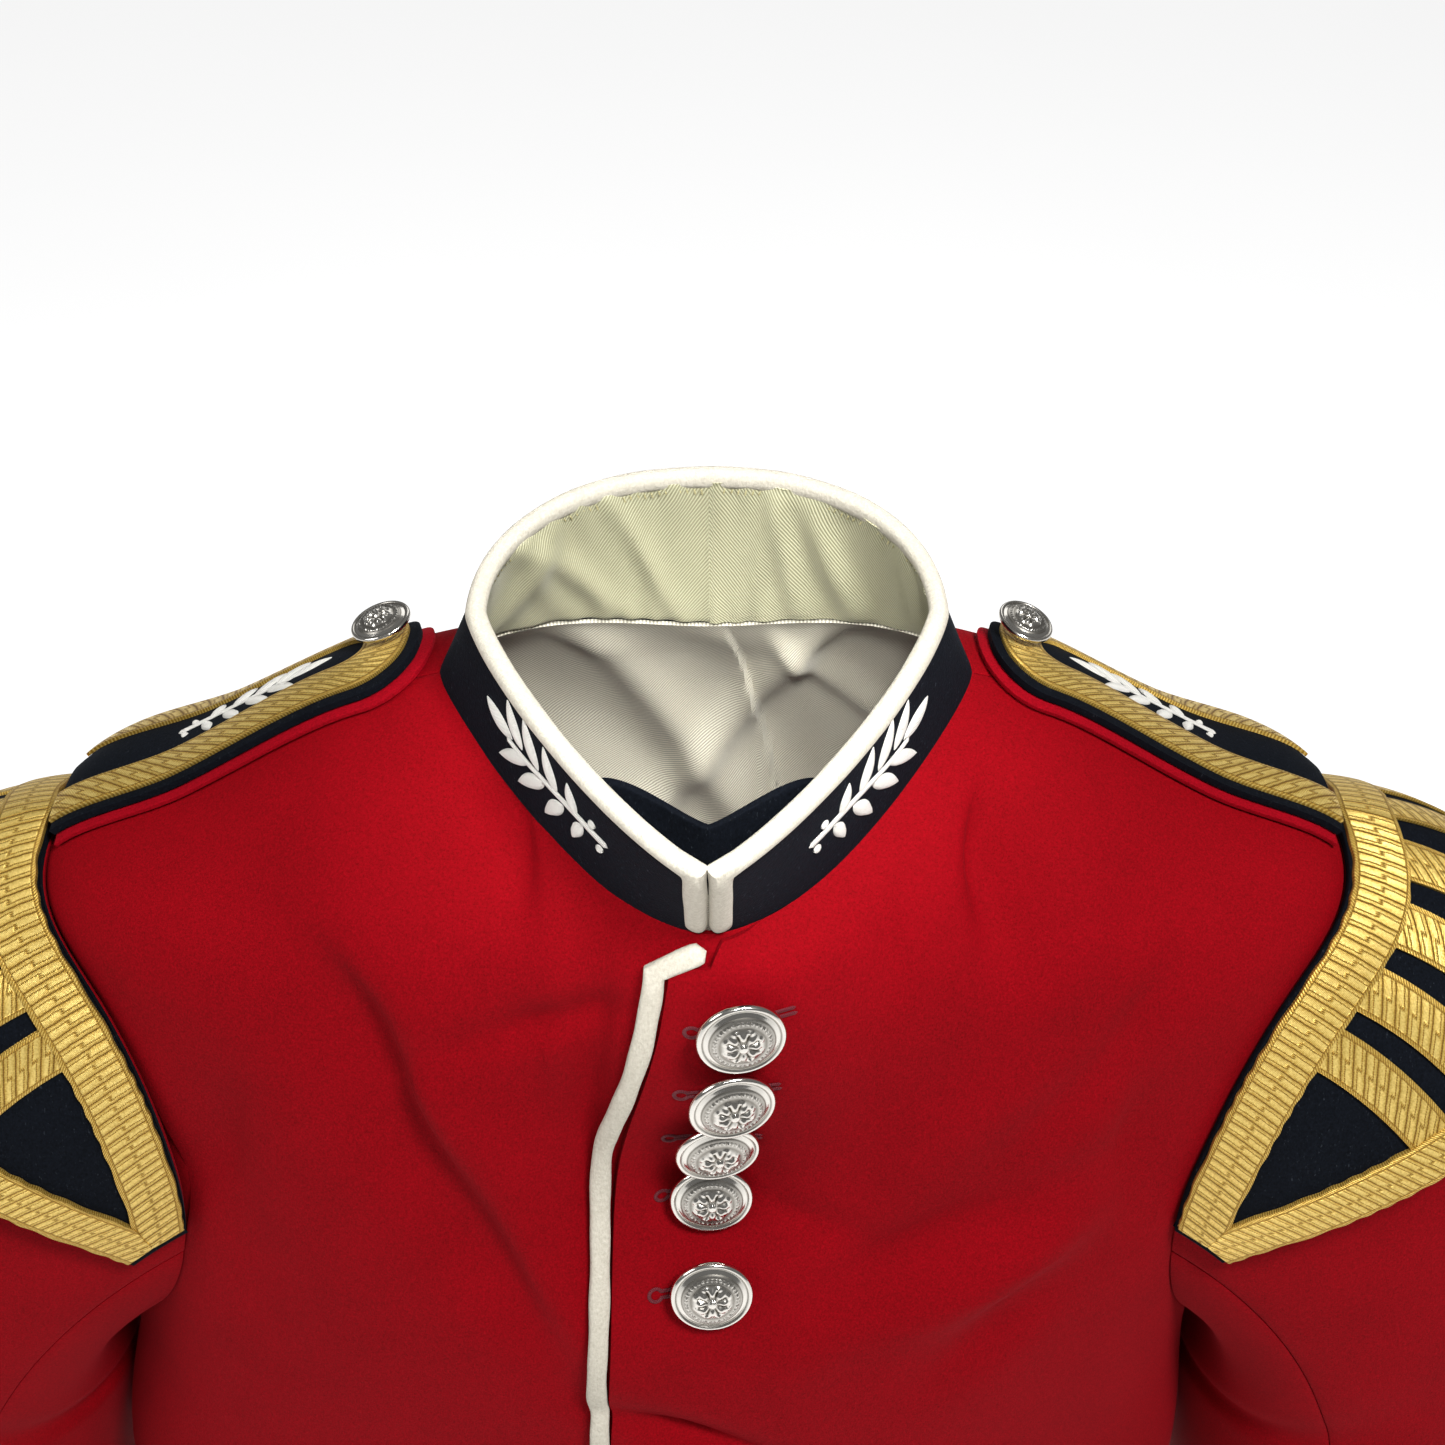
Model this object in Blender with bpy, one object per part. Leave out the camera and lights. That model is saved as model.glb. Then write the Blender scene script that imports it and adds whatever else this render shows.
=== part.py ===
"""Military band tunic, filled out as when worn, with nobody in it.

Scarlet wool fronts, backs and two-piece sleeves, a navy stand collar with white piping, navy
shoulder straps edged with gold lace, and navy crescent wings with gold lace and bars.

Metres, +Z up. The wearer faces -Y and the wearer's left is +X. The origin is the middle of the
neck, about level with the collar seam at the back.
"""
import math
from collections import namedtuple

import bmesh
import bpy
import numpy as np
from mathutils import Vector

# Walls and gaps
CLOTH = 0.0020
LINING_CLOTH = 0.0012
LACE = 0.0010
GAP = 0.0003
SEAM = 0.5 * GAP

# Body sections from the neck seam to the hem, one row for each, sizes in metres.
# The squareness is the power of the section's curve: 2 is an ellipse, less is pointed.
Section = namedtuple("Section", "name half_width front back z_front z_side z_back square_front square_back")
SECTIONS = (
    Section("neck", 0.0755, -0.054, 0.060, -0.030, 0.003, -0.005, 1.45, 2.20),
    Section("collarbone", 0.106, -0.0575, 0.075, -0.047, -0.007, -0.026, 1.75, 2.20),
    Section("yoke", 0.150, -0.058, 0.089, -0.076, -0.033, -0.058, 2.10, 2.30),
    Section("shoulder", 0.190, -0.058, 0.100, -0.112, -0.052, -0.098, 2.35, 2.40),
    Section("sleeve head", 0.196, -0.064, 0.108, -0.150, -0.084, -0.145, 2.30, 2.40),
    Section("blade", 0.184, -0.070, 0.112, -0.190, -0.172, -0.188, 2.40, 2.40),
    Section("armpit", 0.183, -0.072, 0.112, -0.250, -0.250, -0.250, 2.35, 2.30),
    Section("ribs", 0.194, -0.071, 0.107, -0.335, -0.335, -0.335, 2.30, 2.20),
    Section("waist", 0.183, -0.067, 0.094, -0.430, -0.430, -0.430, 2.20, 2.20),
    Section("hip", 0.194, -0.076, 0.107, -0.580, -0.580, -0.580, 2.20, 2.20),
    Section("hem", 0.206, -0.086, 0.122, -0.735, -0.735, -0.735, 2.20, 2.20),
)
SECTION_SIZES = np.array([section[1:] for section in SECTIONS])
SHOULDER_ROW = 3
ARMPIT_ROW = 6
HEM_ROW = len(SECTIONS) - 1
MIDDLE_Y = 0.020

# Folds: soft troughs (negative depth) and ridges in the worn cloth
Fold = namedtuple("Fold", "name x z half_length half_width lean_degrees depth")
FRONT_FOLDS = (
    Fold("buckle at the buttons", 0.0, -0.136, 0.050, 0.033, 90.0, -0.0170),
    Fold("armhole dent left", 0.137, -0.130, 0.060, 0.014, 8.0, -0.0050),
    Fold("armhole dent right", -0.140, -0.140, 0.068, 0.015, -10.0, -0.0055),
    Fold("breast dent right", -0.078, -0.118, 0.048, 0.013, -38.0, -0.0035),
    Fold("breast dent left", 0.070, -0.150, 0.050, 0.015, 30.0, -0.0030),
    Fold("strap hollow left", 0.098, -0.060, 0.030, 0.014, 40.0, -0.0040),
    Fold("strap hollow right", -0.100, -0.062, 0.028, 0.013, -42.0, -0.0035),
    Fold("edge hollow", -0.052, -0.095, 0.050, 0.010, -6.0, -0.0040),
    Fold("waist pull left", 0.085, -0.395, 0.055, 0.012, 68.0, -0.0040),
    Fold("waist pull right", -0.090, -0.405, 0.060, 0.012, -66.0, -0.0040),
    Fold("skirt flute left", 0.110, -0.650, 0.110, 0.020, 4.0, 0.0060),
    Fold("skirt flute right", -0.100, -0.655, 0.105, 0.021, -5.0, 0.0060),
)
BACK_FOLDS = (
    Fold("blade dent left", 0.125, -0.160, 0.065, 0.016, 10.0, -0.0050),
    Fold("blade dent right", -0.128, -0.155, 0.060, 0.015, -12.0, -0.0050),
    Fold("waist crease left", 0.080, -0.415, 0.055, 0.013, 72.0, -0.0045),
    Fold("waist crease right", -0.075, -0.405, 0.050, 0.013, -70.0, -0.0040),
    Fold("skirt flute left", 0.085, -0.650, 0.110, 0.021, 3.0, 0.0065),
    Fold("skirt flute right", -0.090, -0.645, 0.115, 0.020, -4.0, 0.0065),
)

# Share of the body's side over which the folds die out, as its inverse
FOLD_FADE = 3.0

# Front opening: the left front laps over the right one
EDGE_REACH = 0.031
EDGE_CUTBACK = 0.021
EDGE_FALL = 0.078
EDGE_START_Z = -0.030
LAP_PLAY = 0.0010
LAP_LIFT = CLOTH + GAP + LAP_PLAY
LAP_DROP = 0.62
LAP_DROP_X = 0.009
LAP_DROP_FADE = 0.008
LIFT_DROP = 0.10
LAP_SOLID_X = 0.024
LAP_FADE = 0.026
UNDER_EDGE_X = 0.018
PIPING_WIDTH = 0.0064
PIPING_THICK = 0.0036
PIPING_CORNER_ROW = 0.46
PIPING_TOP_ROW = 0.26
PIPING_TOP_X = -0.0004

# Front buttons: place of each one, in two groups of five
ButtonPlace = namedtuple("ButtonPlace", "x z shank_clearance")
FRONT_BUTTONS = (
    ButtonPlace(0.0080, -0.0565, 0.0006),
    ButtonPlace(0.0058, -0.0830, 0.0003),
    ButtonPlace(0.0020, -0.1085, 0.0006),
    ButtonPlace(0.0003, -0.1375, 0.0015),
    ButtonPlace(0.0003, -0.1665, 0.0006),
    ButtonPlace(0.0, -0.251, 0.0006),
    ButtonPlace(0.0, -0.278, 0.0006),
    ButtonPlace(0.0, -0.305, 0.0006),
    ButtonPlace(0.0, -0.332, 0.0006),
    ButtonPlace(0.0, -0.359, 0.0006),
)
BUTTON_RADIUS = 0.0125
BUTTON_STAND = 0.0030
SHANK_PLAY = 1.5
STRAP_BUTTON_RADIUS = 0.0088
# Turned profile of a domed, rimmed button and its shank, as shares of the button's radius
ProfilePoint = namedtuple("ProfilePoint", "radius height")
BUTTON_PROFILE = (
    ProfilePoint(0.0, 0.52),
    ProfilePoint(0.45, 0.47),
    ProfilePoint(0.82, 0.31),
    ProfilePoint(0.93, 0.33),
    ProfilePoint(1.0, 0.26),
    ProfilePoint(0.96, 0.12),
    ProfilePoint(0.15, 0.06),
    ProfilePoint(0.15, -0.20),
    ProfilePoint(0.0, -0.20),
)
BUTTON_SIDES = 14

# Armhole: how far it is cut in from the side, front and back, in degrees about the body's middle
ARMHOLE_IN_FRONT = 21.0
ARMHOLE_IN_BACK = 19.0
ARMHOLE_SAG = 1.357

# Sleeve rings below the cap: middle, half-width, half-depth and fullness towards the body behind
SleeveRing = namedtuple("SleeveRing", "name x y z half_width half_depth fullness")
SLEEVE_RINGS = (
    SleeveRing("upper arm", 0.2555, 0.018, -0.290, 0.0620, 0.0660, 0.0040),
    SleeveRing("elbow", 0.2880, 0.014, -0.455, 0.0570, 0.0620, 0.0205),
    SleeveRing("cuff", 0.3230, -0.014, -0.635, 0.0500, 0.0580, 0.0080),
)
FULLNESS_TURN = math.radians(215.0)
SLEEVE_SIZES = np.array([ring[1:] for ring in SLEEVE_RINGS])
SLEEVE_TILT = math.radians(12.0)
CAP_FALL_TOP = 0.12
CAP_FALL_BOTTOM = 0.75
CAP_SPREAD = 0.22
ARMHOLE_STEPS = 8
TOP_SLEEVE_STEPS = 5
SLEEVE_START = 0.0006

# Wing: crescent sewn in the armhole seam over the sleeve head
WING_TIP = 105.0
WING_TIP_DEPTH = 0.020
WING_SWELL = 0.070
WING_START = 0.0012
WING_STAND = 0.0030
WING_FLARE = 0.0100
WING_CLOTH = 0.0024
WING_LACE_WIDTH = 0.0165
BORDER_LACE_WIDTH = 0.0135
WING_EDGE = 0.0020
LACE_TIP_SHARE = 0.012
BARS = 8
BAR_STEP = 0.0635
BAR_WIDTH = 0.0142
BAR_PLAY = 0.0008

# Collar: the top edge's ring, and the ring's slope
TOP_HALF_WIDTH = 0.0632
TOP_FRONT = -0.0830
TOP_BACK = 0.0565
TOP_MIDDLE_Y = 0.004
TOP_SQUARE_FRONT = 1.24
TOP_SQUARE_BACK = 2.20
TOP_BACK_Z = 0.0490
TOP_SLOPE = math.tan(math.radians(14.1))
COLLAR_CLOTH = 0.0018
COLLAR_THICK = COLLAR_CLOTH + GAP + LINING_CLOTH
COLLAR_PIPING_WIDTH = 0.0062
COLLAR_PIPING_THICK = 0.0046
COLLAR_START = 0.02
PIPING_SEAT = 0.0009
FRONT_PIPING_SHARE = 0.26
FRONT_PIPING_LOW = 0.02
FRONT_PIPING_RISE = 0.91
PIPING_TURN = 0.05
PIPING_CROWD = 1.15
TAB_REACH = 34.0
TAB_BULGE = 0.026
TAB_TOP = 0.70
TAB_DIP = 0.10
TAB_LOW = 0.03
TAB_BOW_POWER = 2.2
TAB_BOW_LOW = 0.45

# Shoulder strap
STRAP_NECK_X = 0.0785
STRAP_END_X = 0.1865
STRAP_Y = 0.0345
STRAP_HALF_NECK = 0.0250
STRAP_HALF_END = 0.0290
STRAP_ROUND = 0.017
STRAP_END_POWER = 0.8
STRAP_LEAST_HALF = 0.0035
STRAP_EDGE_CLOTH = 0.0012
STRAP_CLOTH = 0.0022
STRAP_EDGE = 0.0030
STRAP_MARGIN = 0.0028
STRAP_LACE_WIDTH = 0.0120
STRAP_STAND = 0.0010
STRAP_LAYER = 0.0008
STRAP_BUTTON_X = 0.0905
STRAP_BUTTON_Y = 0.0360
STRAP_BUTTON_LEAN = 0.28
STRAP_BUTTON_RISE = 0.0026

# Back lining seen through the neck
LINING_ROWS = 15
BACK_COLUMNS = 10
PLEAT_HALF = 0.011
PLEAT_LIFT = 0.0030

# The way it hangs: its sides drift towards the wearer's right, most at the ribs
SWAY_LEAST = 0.003
SWAY_SWELL = 0.020
SWAY_Z = -0.370
SWAY_SPREAD = 0.190
SWAY_FROM_X = 0.040
SWAY_FADE = 0.100

QUARTER = 0.5 * math.pi

# Columns and rows of each piece's grid
LAP_COLUMNS = 15
UNDER_COLUMNS = 14
UPPER_ROWS = (0.0, 0.5, 1.0, 1.5, 2.0, 2.5)
LOWER_ROWS = (6.5, 7.0, 7.5, 8.0, 8.5, 9.0, 9.5, 10.0)
SLEEVE_LENGTHS = (0.0, 0.10, 0.24, 0.40, 0.58, 0.78, 1.0, 1.4, 1.8, 2.2, 2.6, 3.0)
COLLAR_COLUMNS = 30
COLLAR_ROWS = 4
COLLAR_CROWD = 1.25
COLLAR_PIPING_STEPS = 26
TAB_COLUMNS = 12
TAB_ROWS = 3
STRAP_COLUMNS = 6
STRAP_ROWS = 9
STRAP_CROWD = 1.6
WING_COLUMNS = 24
WING_ROWS = 5
BAR_COLUMNS = 2
BAR_ROWS = 3
STRIP_SIDES = 8
SHARP_ANGLE = math.radians(40.0)

# Small differences, in the surface's own numbers
BODY_STEP = 0.004
SLEEVE_STEP = 0.006
COLLAR_STEP = 0.012


def clear_scene():
    for item in list(bpy.data.objects):
        bpy.data.objects.remove(item, do_unlink=True)


def cloth_material(name, colour, roughness, metallic=0.0):
    material = bpy.data.materials.new(name)
    material.use_nodes = True
    shader = material.node_tree.nodes["Principled BSDF"]
    shader.inputs["Base Color"].default_value = (*colour, 1.0)
    shader.inputs["Roughness"].default_value = roughness
    shader.inputs["Metallic"].default_value = metallic
    return material


def smooth(value):
    value = min(1.0, max(0.0, value))
    return value * value * (3.0 - 2.0 * value)


def sway(point):
    """A finished point moved to where the hanging cloth holds it."""
    swell = math.exp(-(((point.z - SWAY_Z) / SWAY_SPREAD) ** 2))
    drift = SWAY_LEAST + SWAY_SWELL * swell
    return Vector((point.x - drift * smooth((abs(point.x) - SWAY_FROM_X) / SWAY_FADE), point.y, point.z))


def through_rows(table, row):
    """Smooth curve through a table's rows, at a row number that may lie between two."""
    last = len(table) - 1
    lower = min(int(row), last - 1)
    part = row - lower
    before = table[max(lower - 1, 0)]
    start = table[lower]
    end = table[lower + 1]
    after = table[min(lower + 2, last)]
    slope_start = 0.5 * (end - before)
    slope_end = 0.5 * (after - start)
    square = part * part
    cube = square * part
    return (
        (2.0 * cube - 3.0 * square + 1.0) * start
        + (cube - 2.0 * square + part) * slope_start
        + (3.0 * square - 2.0 * cube) * end
        + (cube - square) * slope_end
    )


def ring_radius(angle, half_width, depth, squareness):
    """Distance from the middle to a section's curve, at an angle from the wearer's left."""
    across = abs(math.cos(angle)) / half_width
    along = abs(math.sin(angle)) / depth
    return (across**squareness + along**squareness) ** (-1.0 / squareness)


# Body surface

def fold_depth(point, folds):
    """Sum of the troughs and ridges at a point of the front or back."""
    total = 0.0
    for fold in folds:
        turn = math.radians(fold.lean_degrees)
        away_x = point.x - fold.x
        away_z = point.z - fold.z
        along = away_z * math.cos(turn) + away_x * math.sin(turn)
        across = away_x * math.cos(turn) - away_z * math.sin(turn)
        total += fold.depth * math.exp(-((along / fold.half_length) ** 2) - (across / fold.half_width) ** 2)
    return total


def body_form(angle, row):
    """Outer face of the shell before any lap, at an angle round the body and a section row."""
    ring = Section("", *through_rows(SECTION_SIZES, row))
    facing_front = math.sin(angle) < 0.0
    depth = MIDDLE_Y - ring.front if facing_front else ring.back - MIDDLE_Y
    z_end = ring.z_front if facing_front else ring.z_back
    squareness = ring.square_front if facing_front else ring.square_back
    radius = ring_radius(angle, ring.half_width, depth, squareness)
    share = math.sin(angle) ** 2
    point = Vector((radius * math.cos(angle), MIDDLE_Y + radius * math.sin(angle), 0.0))
    point.z = ring.z_side + (z_end - ring.z_side) * share
    fold = fold_depth(point, FRONT_FOLDS if facing_front else BACK_FOLDS) * min(1.0, FOLD_FADE * share)
    return point + Vector((math.cos(angle), math.sin(angle), 0.0)) * fold


def facing(surface, first, second, step=BODY_STEP):
    """Unit normal of a surface of two numbers, by small differences."""
    side = surface(first + step, second) - surface(first - step, second)
    down = surface(first, second + step) - surface(first, second - step)
    return side.cross(down).normalized()


def body_normal(angle, row):
    row = min(max(row, 0.01), HEM_ROW - 0.01)
    return -facing(body_form, angle, row)


def body(angle, row, out=0.0):
    return body_form(angle, row) + body_normal(angle, row) * out


def angle_at_x(x, row):
    """Angle on the front at which a section row passes a given x."""
    turn = 0.0
    for _ in range(12):
        turn = math.asin(x / math.hypot(*(body_form(turn - QUARTER, row).xy - Vector((0.0, MIDDLE_Y)))))
    return turn - QUARTER


def row_at_z(x, z):
    """Section row at which the front passes a given place."""
    low, high = 0.0, float(HEM_ROW)
    for _ in range(30):
        row = 0.5 * (low + high)
        if body_form(angle_at_x(x, row), row).z > z:
            low = row
        else:
            high = row
    return row


def lap_edge_x(row):
    z = body_form(-QUARTER, row).z
    return -EDGE_REACH + EDGE_CUTBACK * math.exp(-(((z - EDGE_START_Z) / EDGE_FALL) ** 2))


def lap_row(angle, row):
    """Row of the left front's points: its top is cut lower past the middle."""
    x = body_form(angle, row).x
    drop = LAP_DROP * smooth((LAP_DROP_X - x) / LAP_DROP_FADE)
    drop = max(drop, LIFT_DROP * smooth((LAP_SOLID_X + LAP_FADE - x) / LAP_FADE))
    return row + drop * max(0.0, 1.0 - row)


def lap_out(angle, row):
    """How far the left front is lifted where it lies over the right one."""
    x = body_form(angle, row).x
    return LAP_LIFT * smooth((LAP_SOLID_X + LAP_FADE - x) / LAP_FADE)


# Armhole and sleeve, for the wearer's left; the right one is its mirror image

def armhole_place(turn):
    """Angle and row on the body of the armhole seam; turn runs from the top by the front."""
    down = 0.5 * (1.0 - math.cos(turn))
    reach = ARMHOLE_IN_FRONT if math.sin(turn) >= 0.0 else ARMHOLE_IN_BACK
    sign = -1.0 if math.sin(turn) >= 0.0 else 1.0
    inward = math.radians(reach) * math.sqrt(max(0.0, math.sin(math.pi * down**ARMHOLE_SAG)))
    return sign * inward, SHOULDER_ROW + (ARMPIT_ROW - SHOULDER_ROW) * down


def armhole(turn):
    angle, row = armhole_place(turn)
    return body_form(angle, row)


def armhole_angle(row, front):
    """Angle of the armhole's edge at a section row, on the front or the back."""
    down = (row - SHOULDER_ROW) / (ARMPIT_ROW - SHOULDER_ROW)
    if not 0.0 < down < 1.0:
        return 0.0
    turn = math.acos(1.0 - 2.0 * down)
    return armhole_place(turn if front else -turn)[0]


def sleeve_ring(turn, ring):
    size = SleeveRing("", *through_rows(SLEEVE_SIZES, ring))
    middle = Vector((size.x, size.y, size.z))
    side = Vector((math.cos(SLEEVE_TILT), 0.0, math.sin(SLEEVE_TILT)))
    fore = Vector((0.0, -1.0, 0.0))
    full = size.fullness * max(0.0, math.cos(turn - FULLNESS_TURN)) ** 2
    across = size.half_width * math.cos(turn) + full * math.cos(FULLNESS_TURN)
    along = size.half_depth * math.sin(turn) + full * math.sin(FULLNESS_TURN)
    return middle + side * across + fore * along


def sleeve_form(turn, length):
    """Sleeve's outer face: length 0 to 1 is the cap, 1 to 3 runs from the upper arm to the cuff."""
    if length >= 1.0:
        return sleeve_ring(turn, length - 1.0)
    start = armhole(turn)
    end = sleeve_ring(turn, 0.0)
    chord = (end - start).length
    top = 0.5 * (1.0 + math.cos(turn))
    fall = CAP_FALL_BOTTOM + (CAP_FALL_TOP - CAP_FALL_BOTTOM) * top
    leave = Vector((1.0, -CAP_SPREAD * math.sin(turn), -fall)).normalized() * chord
    arrive = Vector((math.sin(SLEEVE_TILT), 0.0, -math.cos(SLEEVE_TILT))) * chord
    square = length * length
    cube = square * length
    return (
        start * (2.0 * cube - 3.0 * square + 1.0)
        + leave * (cube - 2.0 * square + length)
        + end * (3.0 * square - 2.0 * cube)
        + arrive * (cube - square)
    )


def sleeve(turn, length, out=0.0):
    length = min(max(length, 0.0), 3.0)
    if not out:
        return sleeve_form(turn, length)
    inside = min(max(length, 0.01), 2.99)
    normal = facing(sleeve_form, turn, inside, SLEEVE_STEP)
    return sleeve_form(turn, length) + normal * out


def seam_table(samples=120):
    """Length along the armhole seam between the wing's tips, and the turn at each."""
    turns = np.linspace(math.radians(WING_TIP), -math.radians(WING_TIP), samples)
    points = [armhole(turn) for turn in turns]
    steps = [(points[k + 1] - points[k]).length for k in range(samples - 1)]
    return turns, np.concatenate(([0.0], np.cumsum(steps)))


SEAM_TURNS, SEAM_LENGTHS = seam_table()
WING_SEAM = float(SEAM_LENGTHS[-1])


def wing_turn(share):
    return float(np.interp(share * WING_SEAM, SEAM_LENGTHS, SEAM_TURNS))


def cap_length(turn, reach, samples=24):
    """Cap length number at a distance out from the armhole seam."""
    lengths = np.linspace(0.0, 1.0, samples)
    points = [sleeve_form(turn, length) for length in lengths]
    steps = [(points[k + 1] - points[k]).length for k in range(samples - 1)]
    return float(np.interp(reach, np.concatenate(([0.0], np.cumsum(steps))), lengths))


def wing_depth(share):
    return WING_TIP_DEPTH + WING_SWELL * math.sin(math.pi * min(1.0, max(0.0, share)))


def wing(share, reach, out=0.0):
    """Wing's outer face: share runs from the front tip to the back one, reach from the seam."""
    turn = wing_turn(share)
    stand = WING_STAND + WING_FLARE * (reach / (WING_TIP_DEPTH + WING_SWELL)) ** 1.5
    return sleeve(turn, cap_length(turn, reach), stand + out)


# Collar

def collar_foot(angle):
    return body_form(angle, 0.0)


def collar_top(angle):
    facing_front = math.sin(angle) < 0.0
    depth = TOP_MIDDLE_Y - TOP_FRONT if facing_front else TOP_BACK - TOP_MIDDLE_Y
    squareness = TOP_SQUARE_FRONT if facing_front else TOP_SQUARE_BACK
    radius = ring_radius(angle, TOP_HALF_WIDTH, depth, squareness)
    y = TOP_MIDDLE_Y + radius * math.sin(angle)
    return Vector((radius * math.cos(angle), y, TOP_BACK_Z + (y - TOP_BACK) * TOP_SLOPE))


def collar_form(angle, rise):
    """Collar's outer face; rise is 0 at the neck seam and 1 at the top edge."""
    return collar_foot(angle).lerp(collar_top(angle), rise)


def collar(angle, rise, out=0.0):
    near = min(max(angle, -QUARTER + COLLAR_START), QUARTER - COLLAR_START)
    normal = facing(collar_form, near, 0.5, COLLAR_STEP)
    return collar_form(angle, rise) + normal * out


def collar_span(angle):
    """Height of the collar along its own face at an angle."""
    return (collar_top(angle) - collar_foot(angle)).length


# Shoulder strap

def shoulder_place(x, y):
    """Angle and row on the body below a place on top of the shoulder, by Newton's steps."""
    angle = math.atan2(y - MIDDLE_Y, x)
    row = 2.0
    step = 0.001
    for _ in range(14):
        here = body_form(angle, row)
        by_angle = (body_form(angle + step, row) - here) / step
        by_row = (body_form(angle, row + step) - here) / step
        miss_x = x - here.x
        miss_y = y - here.y
        area = by_angle.x * by_row.y - by_angle.y * by_row.x
        angle += (miss_x * by_row.y - miss_y * by_row.x) / area
        row += (by_angle.x * miss_y - by_angle.y * miss_x) / area
        row = min(max(row, 0.02), SHOULDER_ROW - 0.02)
    return angle, row


def strap_half(x, inset):
    """Half-width of the strap at x, less an inset, with its rounded neck end."""
    share = (x - STRAP_NECK_X) / (STRAP_END_X - STRAP_NECK_X)
    half = STRAP_HALF_NECK + (STRAP_HALF_END - STRAP_HALF_NECK) * share - inset
    radius = STRAP_ROUND - 0.5 * inset
    into = (x - STRAP_NECK_X - inset) / radius
    if into >= 1.0:
        return half
    return half * math.sqrt(max(0.0, 1.0 - (1.0 - max(into, 0.0)) ** 2)) ** STRAP_END_POWER


def on_shoulder(x, y, out):
    angle, row = shoulder_place(x, y)
    return body(angle, row, out)


def strap_x(share, inset):
    """Place along the strap, closer together round the neck end."""
    start = STRAP_NECK_X + inset
    return start + (STRAP_END_X - start) * share**STRAP_CROWD


def strap_point(share, across, inset, out):
    x = strap_x(share, inset)
    half = max(strap_half(x, inset), STRAP_LEAST_HALF)
    return on_shoulder(x, STRAP_Y + across * half, out)


# Making solids

def put_in_scene(name, mesh, material):
    mesh.materials.append(material)
    piece = bpy.data.objects.new(name, mesh)
    bpy.context.scene.collection.objects.link(piece)
    return piece


def mesh_from(name, work, material):
    bmesh.ops.recalc_face_normals(work, faces=work.faces)
    for vert in work.verts:
        vert.co = sway(vert.co)
    mesh = bpy.data.meshes.new(name)
    work.to_mesh(mesh)
    work.free()
    mesh.shade_smooth()
    mesh.set_sharp_from_angle(angle=SHARP_ANGLE)
    return put_in_scene(name, mesh, material)


def wall(name, outer, inner, across, down, material, mirror=False):
    """Closed wall between two surfaces of the same two numbers, from 0 to 1 each way."""
    work = bmesh.new()
    layers = []
    for face in (outer, inner):
        grid = bmesh.ops.create_grid(work, x_segments=across, y_segments=down, size=0.5)["verts"]
        for vert in grid:
            vert.co = face(vert.co.x + 0.5, vert.co.y + 0.5)
        layers.append(grid)
    rims = [edge for edge in work.edges if edge.is_boundary]
    bmesh.ops.bridge_loops(work, edges=rims)
    if mirror:
        bmesh.ops.scale(work, vec=(-1.0, 1.0, 1.0), verts=work.verts)
    return mesh_from(name, work, material)


def strip_loop(name, place, half_width, half_thick, samples, material, mirror=False):
    """Rounded strip swept along a path; place gives a middle, an across and an out direction."""
    work = bmesh.new()
    rings = []
    for k in range(samples + 1):
        middle, across, out = place(k / samples)
        ring = []
        for corner in range(STRIP_SIDES):
            turn = 2.0 * math.pi * (corner + 0.5) / STRIP_SIDES
            shift = across * (half_width * math.cos(turn)) + out * (half_thick * math.sin(turn))
            ring.append(work.verts.new(middle + shift))
        loop = [work.edges.new((ring[i - 1], ring[i])) for i in range(STRIP_SIDES)]
        rings.append((ring, loop))
    for (_, first), (_, second) in zip(rings, rings[1:]):
        bmesh.ops.bridge_loops(work, edges=first + second)
    work.faces.new(rings[0][0])
    work.faces.new(rings[-1][0])
    if mirror:
        bmesh.ops.scale(work, vec=(-1.0, 1.0, 1.0), verts=work.verts)
    return mesh_from(name, work, material)


def button(name, middle, out, radius, foot, foot_out, material):
    """Domed button turned about its axis, with a shank that ends just over the cloth at its foot."""
    work = bmesh.new()
    profile = [work.verts.new((radius * spot.radius, 0.0, radius * spot.height)) for spot in BUTTON_PROFILE]
    for first, second in zip(profile, profile[1:]):
        work.edges.new((first, second))
    bmesh.ops.spin(
        work, geom=list(work.verts) + list(work.edges), cent=(0.0, 0.0, 0.0), axis=(0.0, 0.0, 1.0),
        angle=2.0 * math.pi, steps=BUTTON_SIDES, use_merge=True,
    )
    bmesh.ops.remove_doubles(work, verts=work.verts, dist=0.00001)
    shank_end = [vert for vert in work.verts if vert.co.z < 0.0]
    turn = out.to_track_quat("Z", "Y").to_matrix().to_4x4()
    turn.translation = middle
    bmesh.ops.transform(work, matrix=turn, verts=work.verts)
    for vert in shank_end:
        vert.co += out * ((foot - vert.co).dot(foot_out) / out.dot(foot_out))
    return mesh_from(name, work, material)


# Pieces of the body

def spaced_row(share, rows):
    """Section row at a share of the way down, given the rows of the panel's grid."""
    place = share * (len(rows) - 1)
    lower = min(int(place), len(rows) - 2)
    return rows[lower] + (rows[lower + 1] - rows[lower]) * (place - lower)


def panel_rows():
    """Rows for a body panel: even above and below, crowded at the armhole's two ends."""
    rows = list(UPPER_ROWS)
    for k in range(ARMHOLE_STEPS + 1):
        down = 0.5 * (1.0 - math.cos(math.pi * k / ARMHOLE_STEPS))
        rows.append(SHOULDER_ROW + (ARMPIT_ROW - SHOULDER_ROW) * down)
    return rows + list(LOWER_ROWS)


PANEL_ROWS = panel_rows()


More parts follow.
